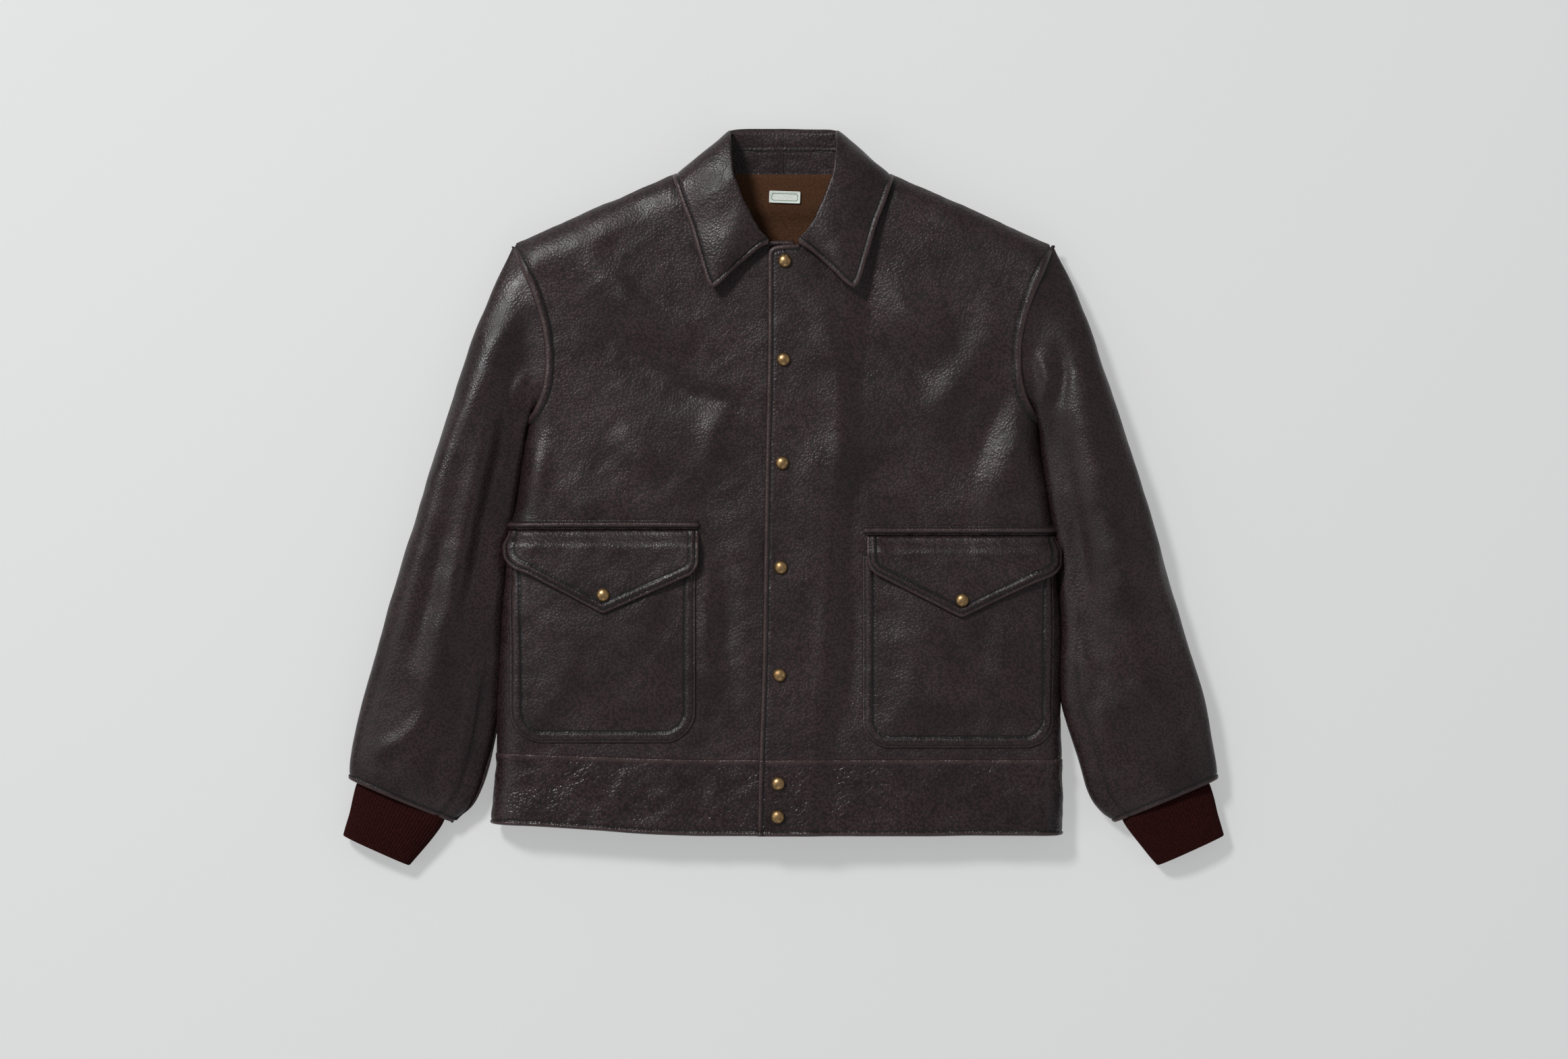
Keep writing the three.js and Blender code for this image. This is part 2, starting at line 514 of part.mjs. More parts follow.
function armholePoint(side, angle) {
  const t = angle <= Math.PI ? angle / Math.PI : 2 - angle / Math.PI;
  const at = t * (ARMHOLE.length - 1);
  const i = Math.min(Math.floor(at), ARMHOLE.length - 2);
  const x = lerp(ARMHOLE[i][0], ARMHOLE[i + 1][0], at - i) + 1;
  const y = lerp(ARMHOLE[i][1], ARMHOLE[i + 1][1], at - i) - 0.3;
  const crest = angle <= Math.PI ? frontHeight(x - 10, y, side) : 0;
  const seam = SEAM_Z + Math.sign(Math.sin(angle));
  return new THREE.Vector3(x, y, lerp(seam, crest, Math.sin(Math.PI * t) ** (2 / SQUARENESS)));
}

function makeSleeve(side) {
  const rows = (angles) => [
    angles.map((a) => armholePoint(side, a)),
    ...sleeveSections(side).map((section) => angles.map((a) => sectionPoint(section, a))),
  ];
  const around = steps(2 * HALF_STEPS, 2 * Math.PI, 0).slice(1);
  const besideBody = [-10, 20, 40].map((y) => [along(BODY_EDGE[side], y) + 0.6, y]);
  const body = block([
    [150, OUTSIDE], [150, -10], ...besideBody, ...[...ARMHOLE].reverse().map(([x, y]) => [x + 0.6, y]),
    [SHOULDER_TIP[0] + 0.6, OUTSIDE],
  ]);
  const make = (name, angles, lower, upper, loop, material) => (
    add(`${name}_${side}`, onSide(layer(rows(angles), lower, upper, loop).subtract(body), side), material));
  make('top_sleeve', steps(HALF_STEPS, Math.PI - SEAM_ANGLE, SEAM_ANGLE), -LEATHER, 0, false, hide);
  make('under_sleeve', steps(HALF_STEPS, 2 * Math.PI - SEAM_ANGLE, Math.PI + SEAM_ANGLE), -LEATHER, 0, false, hide);
  make('sleeve_lining', around, -LEATHER - SLEEVE_GAP - LINING, -LEATHER - SLEEVE_GAP, true, wool);
  const cuffRows = CUFF_SECTIONS.map((section) => around.map((a) => sectionPoint(section, a)));
  add(`rib_cuff_${side}`, onSide(layer(cuffRows, -CUFF, 0, true), side), rib);
}

makeBack();
makeCollarBack();
makeLabel();
makeSnaps();
for (const side of ['left', 'right']) {
  makeFront(side);
  makeFrontEnd(side);
  makeCollarFront(side);
  makePocket(side);
  makeSleeve(side);
}

export default jacket;
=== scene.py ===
"""A leather blouson lying on its back, buttoned up, seen from straight above.

Shapes are worked out in millimetres in the part's own frame: X towards the wearer's left, Y from the
hem to the collar, Z up out of the front. Most leather is a sheet: a plan is triangulated, a function
lifts each plan point to its place on the body, and the sheet gets its thickness, seams and stitches.
A plan is always drawn for the left side, and the right side mirrors it.
"""
import math

import bpy
import numpy as np
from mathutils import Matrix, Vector
from mathutils.geometry import delaunay_2d_cdt
from numpy.linalg import norm


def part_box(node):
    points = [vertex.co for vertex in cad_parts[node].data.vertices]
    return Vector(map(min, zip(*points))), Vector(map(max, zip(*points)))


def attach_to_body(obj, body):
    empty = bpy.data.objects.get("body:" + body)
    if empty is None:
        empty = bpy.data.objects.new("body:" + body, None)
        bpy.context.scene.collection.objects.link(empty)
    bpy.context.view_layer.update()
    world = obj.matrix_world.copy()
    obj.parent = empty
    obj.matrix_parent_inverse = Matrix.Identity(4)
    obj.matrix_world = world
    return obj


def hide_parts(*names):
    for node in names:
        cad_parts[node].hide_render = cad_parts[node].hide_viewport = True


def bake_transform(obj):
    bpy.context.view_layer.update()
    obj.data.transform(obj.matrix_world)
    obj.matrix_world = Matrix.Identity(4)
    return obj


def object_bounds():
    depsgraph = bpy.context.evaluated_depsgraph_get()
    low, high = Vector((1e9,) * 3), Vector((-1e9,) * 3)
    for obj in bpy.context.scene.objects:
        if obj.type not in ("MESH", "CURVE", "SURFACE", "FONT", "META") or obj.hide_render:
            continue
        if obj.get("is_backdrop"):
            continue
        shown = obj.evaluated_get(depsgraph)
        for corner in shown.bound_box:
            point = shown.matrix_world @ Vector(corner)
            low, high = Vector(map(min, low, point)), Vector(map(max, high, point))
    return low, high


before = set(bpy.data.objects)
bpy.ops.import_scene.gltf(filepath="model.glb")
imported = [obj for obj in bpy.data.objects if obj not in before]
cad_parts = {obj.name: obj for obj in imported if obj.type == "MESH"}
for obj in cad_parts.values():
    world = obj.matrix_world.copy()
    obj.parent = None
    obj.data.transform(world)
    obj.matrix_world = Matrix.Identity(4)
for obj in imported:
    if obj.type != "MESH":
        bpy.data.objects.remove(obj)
cad_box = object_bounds()

# ---- Sizes ----
HEM_Y = -316.0
BAND_SEAM_Y = -246.0
SHOULDER_TIP = (255.0, 236.0)
NECK_POINT = (105.0, 303.0)
NECK_HALF = 99.0
NECK_DROP = 67.0
SEAM_Z = 17.0  # height of the side and shoulder seams
FRONT_Z = 38.0
FRONT_ROLL = 24.0  # width of the front's rounded sides
SHOULDER_ROLL = 34.0
BACK_ROLL = 22.0
NECK_STEP = 4.0
FOLD_HEM = (50.0, HEM_Y)
FOLD_NECK = (92.0, 278.0)
FRONT_LIFT = 5.4  # the left front over the right one
THICK = 2.8  # leather with its lining
STITCH = 2.3  # from one stitch to the next
TURNED = 16  # how far leather goes round an edge, over the lining
ARMPIT_Y = 74.0
EDGE_ROW = 5.2  # stitch rows, from the edge that they hold
ARM_ROW = 8.0
HEM_ROW = 4.6
SLEEVE_ROW = 5.4
SEAM_LINES = (0.9, 2.2, 3.8)  # where a sheet gets extra points beside a seam
BAND_LINES = (0.6, 1.4, 2.8, 4.5)

BODY_EDGE = {
    1: [(303, 255), (236, 255), (ARMPIT_Y, 240), (40, 243), (0, 249), (-36, 256), (-128, 262), (HEM_Y, 260)],
    -1: [(303, 255), (236, 255), (ARMPIT_Y, 240), (40, 244), (0, 251), (-36, 259), (-143, 266), (HEM_Y, 273)],
}
ARMHOLE = [SHOULDER_TIP, (236, 193), (224.5, 152), (223.5, 115), (230, 90), (240, ARMPIT_Y)]
FREE_EDGE = {
    1: [
        (229, -13), (225, -14.6), (129, -15), (32, -17), (-60, -18.4), (-158, -20), (-247, -23),
        (HEM_Y, -24.5),
    ],
    -1: [(240, -12), (HEM_Y, -12)],
}

# ---- Number tools ----


def ease(low, high, x):
    """0 below low, 1 above high, and smooth between."""
    t = np.clip((np.asarray(x, float) - low) / (high - low), 0, 1)
    return t * t * (3 - 2 * t)


def hump(x, width):
    """1 at x = 0, falling smoothly away on both sides."""
    return np.exp(-(x / width) ** 2)


def arch(x):
    """0 at 0 and at 1, and 1 half way."""
    return np.sin(np.pi * np.clip(x, 0, 1))


def lip(d, width):
    """1 at an edge, falling to 0 at width from it."""
    return np.clip(1 - d / width, 0, 1) ** 2


def along(rows, y):
    """Reads (position, value) rows, whose positions fall, at y."""
    table = np.array(rows, float)[::-1]
    return np.interp(y, table[:, 0], table[:, 1])


def noise(x, y, cell, seed):
    """Smooth noise from -1 to 1 whose bumps are about one cell across."""
    table = np.random.RandomState(seed).rand(64, 64) * 2 - 1
    u, v = np.asarray(x) / cell, np.asarray(y) / cell
    i, j = np.floor(u).astype(int), np.floor(v).astype(int)
    a, b = u - i, v - j
    a, b = a * a * (3 - 2 * a), b * b * (3 - 2 * b)
    get = lambda m, n: table[m % 64, n % 64]
    low = get(i, j) * (1 - a) + get(i + 1, j) * a
    high = get(i, j + 1) * (1 - a) + get(i + 1, j + 1) * a
    return low * (1 - b) + high * b


def measure(points):
    """How far along a line each of its points is."""
    return np.r_[0, np.cumsum(norm(np.diff(points, axis=0), axis=1))]


def read(t, positions, rows):
    """Rows of values, read at t between their positions."""
    return np.column_stack([np.interp(t, positions, column) for column in rows.T])


def spline(a, b, c, d, t):
    """A smooth path from b at t = 0 to c at t = 1. It comes from a, and goes on to d."""
    bend = 2 * a - 5 * b + 4 * c - d
    twist = 3 * b - a - 3 * c + d
    return 0.5 * (2 * b + (c - a) * t + bend * t ** 2 + twist * t ** 3)


def through(values, at):
    """A smooth path through rows of values. at counts the rows."""
    v = np.array(values, float)
    i = np.clip(np.floor(at).astype(int), 0, len(v) - 2)
    before, after = np.maximum(i - 1, 0), np.minimum(i + 2, len(v) - 1)
    return spline(v[before], v[i], v[i + 1], v[after], (at - i)[:, None])


def curve(points, step):
    """A smooth line through the points, with a point about every step."""
    p = np.array(points, float)
    p = np.vstack([2 * p[0] - p[1], p, 2 * p[-1] - p[-2]])
    out = []
    for k in range(1, len(p) - 2):
        n = max(2, int(norm(p[k + 1] - p[k]) / 2) + 2)
        t = np.linspace(0, 1, n, endpoint=False)[:, None]
        out.append(spline(*p[k - 1:k + 3], t))
    return resample(np.vstack(out + [p[-2:-1]]), step)


def resample(points, step):
    """The same line, with a point about every step."""
    p = np.array(points, float)
    s = measure(p)
    return read(np.linspace(0, s[-1], max(int(round(s[-1] / step)), 1) + 1), s, p)


def rounded(corners, step):
    """A closed outline from (x, y, radius) corners."""
    pts = []
    n = len(corners)
    for k in range(n):
        here = np.array(corners[k][:2], float)
        before = np.array(corners[k - 1][:2], float) - here
        after = np.array(corners[(k + 1) % n][:2], float) - here
        r = corners[k][2]
        if r <= 0:
            pts.append(here)
            continue
        a = here + before / norm(before) * r
        b = here + after / norm(after) * r
        for t in np.linspace(0, 1, 9):
            pts.append((1 - t) ** 2 * a + 2 * t * (1 - t) * (0.35 * (a + b) / 2 + 0.65 * here) + t * t * b)
    return resample(np.array(pts + [pts[0]]), step)[:-1]


def near(points, line):
    """Distance from each point to a line of points, and where along the line, from 0 to 1."""
    points, line = np.asarray(points, float), np.asarray(line, float)
    best = np.full(len(points), 1e9)
    place = np.zeros(len(points))
    lengths = measure(line)
    for k in range(len(line) - 1):
        a, d = line[k], line[k + 1] - line[k]
        size = float(d @ d)
        if size < 1e-12:
            continue
        t = np.clip(((points - a) @ d) / size, 0, 1)
        gap = points - a - t[:, None] * d
        dist = np.einsum("ij,ij->i", gap, gap)
        closer = dist < best
        best[closer] = dist[closer]
        place[closer] = (lengths[k] + t[closer] * math.sqrt(size)) / lengths[-1]
    return np.sqrt(best), place


def inside(points, outline):
    x, y = points[:, 0], points[:, 1]
    result = np.zeros(len(points), bool)
    for a, b in zip(outline, np.roll(outline, -1, axis=0)):
        if a[1] == b[1]:
            continue
        crosses = (a[1] > y) != (b[1] > y)
        result ^= crosses & (x < (b[0] - a[0]) * (y - a[1]) / (b[1] - a[1]) + a[0])
    return result


def offset(line, d):
    """The line moved to its left by d, without the parts that a corner folds over."""
    line = np.asarray(line, float)
    run = np.gradient(line, axis=0)
    run /= np.maximum(norm(run, axis=1), 1e-9)[:, None]
    moved = line + d * np.column_stack([-run[:, 1], run[:, 0]])
    return moved[near(moved, line)[0] > abs(d) - 0.12]


# ---- Mesh tools ----


def make_object(name, points, faces, materials, face_materials=None, mirror=False, wear_and_painted_light=None, sharp=None):
    """A mesh object from points in millimetres. The per-point colour value makes the leather darker below 0,
    as painted shade in the stitched grooves, and lighter up to 1, as scuffing and a painted highlight on
    edges."""
    points = np.array(points, float)
    if mirror:
        points[:, 0] *= -1
        faces = [tuple(reversed(f)) for f in faces]
    mesh = bpy.data.meshes.new(name)
    mesh.from_pydata((points * 0.001).tolist(), [], [tuple(map(int, f)) for f in faces])
    for material in materials:
        mesh.materials.append(material)
    if face_materials is not None:
        mesh.polygons.foreach_set("material_index", np.asarray(face_materials, np.int32))
    mesh.polygons.foreach_set("use_smooth", np.ones(len(mesh.polygons), bool))
    if wear_and_painted_light is not None:
        mesh.attributes.new("wear_and_painted_light", "FLOAT", "POINT").data.foreach_set("value", np.asarray(wear_and_painted_light, np.float32))
    if sharp:
        mesh.set_sharp_from_angle(angle=math.radians(sharp))
    mesh.update()
    obj = bpy.data.objects.new(name, mesh)
    bpy.context.scene.collection.objects.link(obj)
    return obj


def plan_mesh(outline, spacing, lines=()):
    """Triangles that fill an outline, with extra points along the given lines."""
    outline = np.asarray(outline, float)
    closed = np.vstack([outline, outline[:1]])
    extra = [line for line in lines if len(line)]
    extra = np.vstack(extra) if extra else np.zeros((0, 2))
    if len(extra):
        extra = extra[inside(extra, outline)]
        extra = extra[near(extra, closed)[0] > 0.35]
    low, high = outline.min(0), outline.max(0)
    xs = np.arange(low[0], high[0], spacing)
    ys = np.arange(low[1], high[1], spacing * 0.866)
    gx, gy = np.meshgrid(xs, ys)
    gx[1::2] += spacing / 2
    grid = np.column_stack([gx.ravel(), gy.ravel()])
    grid = grid[inside(grid, outline)]
    grid = grid[near(grid, closed)[0] > spacing * 0.55]
    if len(extra):
        cell = spacing * 0.5
        taken = set(map(tuple, np.round(extra / cell).astype(int)))
        free = [tuple(k) not in taken for k in np.round(grid / cell).astype(int)]
        grid = grid[np.array(free, bool)]
    points = np.vstack([outline, extra, grid])
    n = len(outline)
    result = delaunay_2d_cdt([Vector(p) for p in points], [], [list(range(n))], 1, 1e-5)
    return np.array([tuple(v) for v in result[0]]), np.array(result[2], int)


def vertex_normals(points, triangles):
    a, b, c = (points[triangles[:, k]] for k in range(3))
    face = np.cross(b - a, c - a)
    total = np.zeros_like(points)
    for k in range(3):
        np.add.at(total, triangles[:, k], face)
    return total / np.maximum(norm(total, axis=1), 1e-12)[:, None]


def border_edges(triangles):
    """The edges that only one triangle has, in that triangle's direction."""
    edges = np.vstack([triangles[:, [0, 1]], triangles[:, [1, 2]], triangles[:, [2, 0]]])
    keys = np.sort(edges, axis=1)
    _, first, count = np.unique(keys, axis=0, return_index=True, return_counts=True)
    return edges[first[count == 1]]


def stitches(place, line):
    """Small raised threads along a line in a sheet's plan."""
    line = resample(line, STITCH / 4)
    heading = np.gradient(line, axis=0)
    here = place(line)
    beside = place(line + np.column_stack([-heading[:, 1], heading[:, 0]]))
    return threads(here, np.cross(np.gradient(here, axis=0), beside - here))


def threads(line, up, length=1.5, width=0.4, height=0.32):
    """One stitch for every fourth point of a line, on the side that up says."""
    here = np.asarray(line, float)[2::4]
    along_it = np.gradient(line, axis=0)[2::4]
    along_it /= norm(along_it, axis=1)[:, None]
    up = np.asarray(up, float)[2::4]
    up = up - along_it * np.sum(up * along_it, axis=1)[:, None]
    up /= norm(up, axis=1)[:, None]
    across = np.cross(up, along_it)
    here = here + up * 0.05
    points = np.stack([
        here - along_it * length / 2, here + across * width, here - across * width, here + up * height,
        here - up * height, here + along_it * length / 2], axis=1).reshape(-1, 3)
    one = [(0, 2, 3), (0, 3, 1), (0, 4, 2), (0, 1, 4), (5, 3, 2), (5, 1, 3), (5, 2, 4), (5, 4, 1)]
    faces = (np.arange(len(here))[:, None, None] * 6 + np.array(one)[None]).reshape(-1, 3)
    return points, faces


def attach(piece, body, slot, *nodes):
    """Puts a piece on the body that it rides on, and hides the CAD nodes that it stands for; slot, what it is
    made of, is not used.
    """
    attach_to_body(piece, body)
    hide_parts(*nodes)


def sheet(name, side, outline, place, materials, spacing, lines=(), rows=(), thick=THICK, wear_and_light_marks=None,
          down=False, turned=()):
    """A piece of leather: an outer face, an inner face and a rim, with stitch rows on it. materials are
    those of the outer face, the inner face and the thread. down is for a sheet whose outer face looks
    down. Along the turned lines, the outer face's material goes round to the inner face."""
    plan, triangles = plan_mesh(outline, spacing, lines)
    outer = place(plan)
    if down:
        triangles = triangles[:, ::-1]
    back = outer - vertex_normals(outer, triangles) * thick
    if down:
        back[:, 2] = np.maximum(back[:, 2], outer[:, 2] + 0.5 * thick)
    n = len(outer)
    edges = border_edges(triangles)
    rim = [(b, a, a + n, b + n) for a, b in edges]
    points = [outer, back]
    faces = [tuple(t) for t in triangles] + [tuple(t + n) for t in triangles[:, ::-1]] + rim
    inner = np.ones(len(triangles), int)
    for line in turned:
        inner[near(plan[triangles].mean(axis=1), line)[0] < TURNED] = 0
    kinds = [0] * len(triangles) + inner.tolist() + [0] * len(rim)
    count = 2 * n
    for row in rows:
        if len(row) < 3:
            continue
        p, f = stitches(place, row)
        points.append(p)
        faces += [tuple(t + count) for t in f]
        kinds += [2] * len(f)
        count += len(p)
    wear_and_painted_light = np.zeros(count)
    if wear_and_light_marks is not None:
        wear_and_painted_light[:n] = wear_and_light_marks(plan)
    return make_object(name, np.vstack(points), faces, materials, kinds, side < 0, wear_and_painted_light)


def grid_faces(n, m, loop=False):
    """Quads of a grid of points, facing the side from which rows run down and columns run to the right."""
    i, j = np.meshgrid(np.arange(n - 1), np.arange(m if loop else m - 1), indexing="ij")
    k = (j + 1) % m
    quads = np.stack([i * m + j, (i + 1) * m + j, (i + 1) * m + k, i * m + k], axis=-1)
    return [tuple(q) for q in quads.reshape(-1, 4).tolist()]


def grid_normals(grid, loop=False):
    """Normals on the side that grid_faces faces."""
    down = np.gradient(grid, axis=0)
    if loop:
        run = (np.roll(grid, -1, axis=1) - np.roll(grid, 1, axis=1)) / 2
    else:
        run = np.gradient(grid, axis=1)
    normal = np.cross(down, run)
    return normal / np.maximum(norm(normal, axis=2), 1e-9)[:, :, None]


def grid_sheet(name, side, grid, materials, thick, loop=False, rows=(), wear_and_light_marks=None):
    """A grid of points as a closed sheet, with its thickness behind it and stitch rows as 3-D lines."""
    n, m = grid.shape[:2]
    normals = grid_normals(grid, loop)
    points = [grid.reshape(-1, 3), (grid - normals * thick).reshape(-1, 3)]
    size = n * m
    near_side = grid_faces(n, m, loop)
    far_side = [(a + size, d + size, c + size, b + size) for a, b, c, d in near_side]
    rim = []
    for j in range(m if loop else m - 1):
        k = (j + 1) % m
        rim.append((k, j, size + j, size + k))
        rim.append(((n - 1) * m + j, (n - 1) * m + k, size + (n - 1) * m + k, size + (n - 1) * m + j))
    for i in range(0 if loop else n - 1):
        a, b = i * m, (i + 1) * m
        rim.append((a, b, size + b, size + a))
        a, b = a + m - 1, b + m - 1
        rim.append((b, a, size + a, size + b))
    faces = near_side + far_side + rim
    kinds = [0] * len(near_side) + [1] * len(far_side) + [0] * len(rim)
    count = 2 * size
    for line, up in rows:
        p, f = threads(line, up)
        points.append(p)
        faces += [tuple(t + count) for t in f]
        kinds += [2] * len(f)
        count += len(p)
    wear_and_painted_light = np.zeros(count)
    if wear_and_light_marks is not None:
        wear_and_painted_light[:size] = wear_and_light_marks.ravel()
    return make_object(name, np.vstack(points), faces, materials, kinds, side < 0, wear_and_painted_light)


def lathe(name, side, profile, place, material, sides=40):
    """A turned piece. Its profile runs from the axis at the bottom, round the outside, to the axis."""
    angles = np.linspace(0, 2 * np.pi, sides, endpoint=False)
    inner = np.array(profile[1:-1], float)
    radius, height = inner[:, :1], np.repeat(inner[:, 1:], sides, axis=1)
    ring = np.stack([radius * np.cos(angles), radius * np.sin(angles), height], axis=2)
    points = [[0, 0, profile[0][1]], [0, 0, profile[-1][1]]] + ring.reshape(-1, 3).tolist()
    faces = [tuple(2 + i for i in f[::-1]) for f in grid_faces(len(inner), sides, True)]
    last = 2 + (len(inner) - 1) * sides
    for j in range(sides):
        k = (j + 1) % sides
        faces.append((0, 2 + k, 2 + j))
        faces.append((1, last + j, last + k))
    return make_object(name, np.array(points) + np.array(place), faces, [material], None, side < 0, sharp=50)


# ---- Materials ----
class Look:
    """A node material over a Principled shader, in metres of the part's own frame."""

    def __init__(self, name, slot, **shader):
        names = {"specular": "Specular IOR Level"}
        self.material = bpy.data.materials.new(name)
        self.material.use_nodes = True
        self.slot = slot
        self.tree = self.material.node_tree
        self.shader = self.tree.nodes["Principled BSDF"]
        for socket, value in shader.items():
            self.shader.inputs[names.get(socket, socket.capitalize())].default_value = value
        self.place = self.add("TexCoord").outputs["Object"]

    def add(self, kind, inputs=(), **settings):
        node = self.tree.nodes.new("ShaderNode" + kind)
        for key, value in settings.items():
            setattr(node, key, value)
        for socket, value in dict(inputs).items():
            if isinstance(value, bpy.types.NodeSocket):
                self.tree.links.new(value, node.inputs[socket])
            else:
                node.inputs[socket].default_value = value
        return node

    def math(self, operation, a, b=0.0, c=0.0):
        return self.add("Math", {0: a, 1: b, 2: c}, operation=operation).outputs[0]

    def span(self, value, low, high, to_low=0.0, to_high=1.0):
        inputs = {"Value": value, "From Min": low, "From Max": high, "To Min": to_low, "To Max": to_high}
        return self.add("MapRange", inputs, interpolation_type="SMOOTHSTEP").outputs[0]

    def mix(self, share, a, b):
        colours = [(*v, 1) if isinstance(v, tuple) else v for v in (a, b)]
        return self.add("Mix", {0: share, 6: colours[0], 7: colours[1]}, data_type="RGBA").outputs[2]

    def clouds(self, size, detail=2.0, where=None, colour=False):
        inputs = {"Vector": where or self.place, "Scale": 1000 / size, "Detail": detail}
        return self.add("TexNoise", inputs).outputs["Color" if colour else "Fac"]

    def cells(self, size, where, feature="F1"):
        inputs = {"Vector": where, "Scale": 1000 / size}
        return self.add("TexVoronoi", inputs, feature=feature).outputs["Distance"]

    def shifted(self, size, reach):
        """The place moved about by soft noise, by up to reach, in millimetres."""
        colours = self.clouds(size, 1.0, None, True)
        moved = self.add("VectorMath", {0: colours, 1: (0.5, 0.5, 0.5)}, operation="SUBTRACT")
        scaled = self.add("VectorMath", {0: moved.outputs[0], "Scale": reach * 0.002}, operation="SCALE")
        return self.add("VectorMath", {0: self.place, 1: scaled.outputs[0]}, operation="ADD").outputs[0]

    def finish(self, colour=None, roughness=None, height=None):
        """Height is in millimetres."""
        if colour is not None:
            self.tree.links.new(colour, self.shader.inputs["Base Color"])
        if roughness is not None:
            self.tree.links.new(roughness, self.shader.inputs["Roughness"])
        if height is not None:
            bump = self.add("Bump", {"Height": height, "Distance": 0.001, "Strength": 1.0})
            self.tree.links.new(bump.outputs[0], self.shader.inputs["Normal"])
        return self.material


def leather(name, grain, grain_height, crackle, shine):
    """Pebbled hide: grain is its pebbles' size, and crackle is the depth of its loose zones' creases."""
    look = Look(name, "leather", specular=0.34)
    pebbles = look.span(look.cells(grain, look.shifted(4, 0.5)), 0.12, 0.72, 1.0, 0.0)
    creases = look.span(look.cells(2.4 * grain, look.shifted(14, 2.0), "DISTANCE_TO_EDGE"), 0.0, 0.13)
    loose = look.span(look.clouds(75, 3.0), 0.42, 0.62)
    fine = look.clouds(0.6, 2.0)
    cracks = look.math("MULTIPLY", look.math("SUBTRACT", creases, 1.0), loose)
    height = look.math("MULTIPLY_ADD", pebbles, grain_height, look.math("MULTIPLY", cracks, crackle))
    height = look.math("MULTIPLY_ADD", fine, 0.02, height)
    height = look.math("MULTIPLY_ADD", look.clouds(9, 1.0), 0.06, height)
    dye = look.span(look.clouds(55, 4.0), 0.3, 0.7)
    base = look.mix(dye, (0.0200, 0.0105, 0.0112), (0.0345, 0.0180, 0.0188))
    # Painted shade: the crevices between the pebbles are darkened.
    between = look.math("MULTIPLY", look.span(pebbles, 0.0, 0.55, 1.0, 0.0), 0.7)
    base = look.mix(between, base, (0.005, 0.003, 0.003))
    wear_and_painted_light = look.add("Attribute", attribute_name="wear_and_painted_light").outputs["Fac"]
    # Lighter leather on turned edges and rolls: partly scuffing, partly a painted highlight.
    rub_highlight_and_groove_shade = look.math("MULTIPLY", wear_and_painted_light, look.span(look.clouds(12, 3.0), 0.25, 0.7, 0.5, 0.85))
    base = look.mix(look.span(rub_highlight_and_groove_shade, 0.0, 1.0), base, (0.052, 0.031, 0.030))
    # Painted shade: near black in the stitched grooves and seams.
    base = look.mix(look.span(wear_and_painted_light, -1.0, 0.0, 0.85, 0.0), base, (0.0025, 0.0016, 0.0016))
    roughness = look.span(look.clouds(22, 3.0), 0.25, 0.75, shine - 0.06, shine + 0.1)
    roughness = look.math("MULTIPLY_ADD", pebbles, -0.07, roughness)
    return look.finish(base, roughness, height)


def cloth(name, slot, dark, light, pitch, depth):
    """A napped twill."""
    look = Look(name, slot, roughness=0.95, specular=0.2)
    turn = {"Vector": look.place, "Rotation": (0.0, 0.0, 0.9)}
    turned = look.add("Mapping", turn).outputs[0]
    wave = {"Vector": turned, "Scale": 314 / pitch, "Distortion": 1.2, "Detail": 2.0}
    twill = look.add("TexWave", wave).outputs["Fac"]
    nap = look.clouds(1.6, 4.0)
    shade = look.math("MULTIPLY_ADD", twill, 0.25, look.math("MULTIPLY", nap, 0.9))
    height = look.math("MULTIPLY_ADD", twill, depth, look.math("MULTIPLY", nap, depth * 2))
    return look.finish(look.mix(look.span(shade, 0.3, 0.8), dark, light), None, height)


def knit():
    """Rib knit wool. The ribs are in the mesh, and these are its stitches and fluff, with painted shade
    between the loops.
    """
    look = Look("rib_knit", "rib_knit", roughness=0.92, specular=0.08)
    fluff = look.clouds(1.1, 4.0)
    loops = look.cells(1.3, look.shifted(3, 0.4))
    base = look.mix(look.span(fluff, 0.3, 0.75), (0.0155, 0.0026, 0.0022), (0.042, 0.0082, 0.0068))
    # Painted shade: darker in the hollows between the loops.
    base = look.mix(look.span(loops, 0.3, 0.7, 0.0, 0.5), base, (0.007, 0.002, 0.0018))
    height = look.math("MULTIPLY_ADD", loops, -0.25, look.math("MULTIPLY", fluff, 0.3))
    return look.finish(base, None, height)


def aged_brass():
    look = Look("brass", "brass", metallic=1.0, roughness=0.3)
    patina = look.span(look.clouds(3.5, 4.0), 0.42, 0.68)
    base = look.mix(patina, (0.44, 0.28, 0.13), (0.22, 0.135, 0.062))
    scuffs = look.clouds(0.9, 3.0)
    roughness = look.math("MULTIPLY_ADD", scuffs, 0.2, look.math("MULTIPLY_ADD", patina, 0.14, 0.24))
    return look.finish(base, roughness, look.math("MULTIPLY", scuffs, 0.03))


def plain(name, slot, colour, roughness, grain, depth):
    look = Look(name, slot, roughness=roughness)
    speckle = look.clouds(grain, 3.0)
    darker = tuple(0.75 * c for c in colour)
    base = look.mix(look.span(speckle, 0.3, 0.7), darker, colour)
    return look.finish(base, None, look.math("MULTIPLY", speckle, depth))


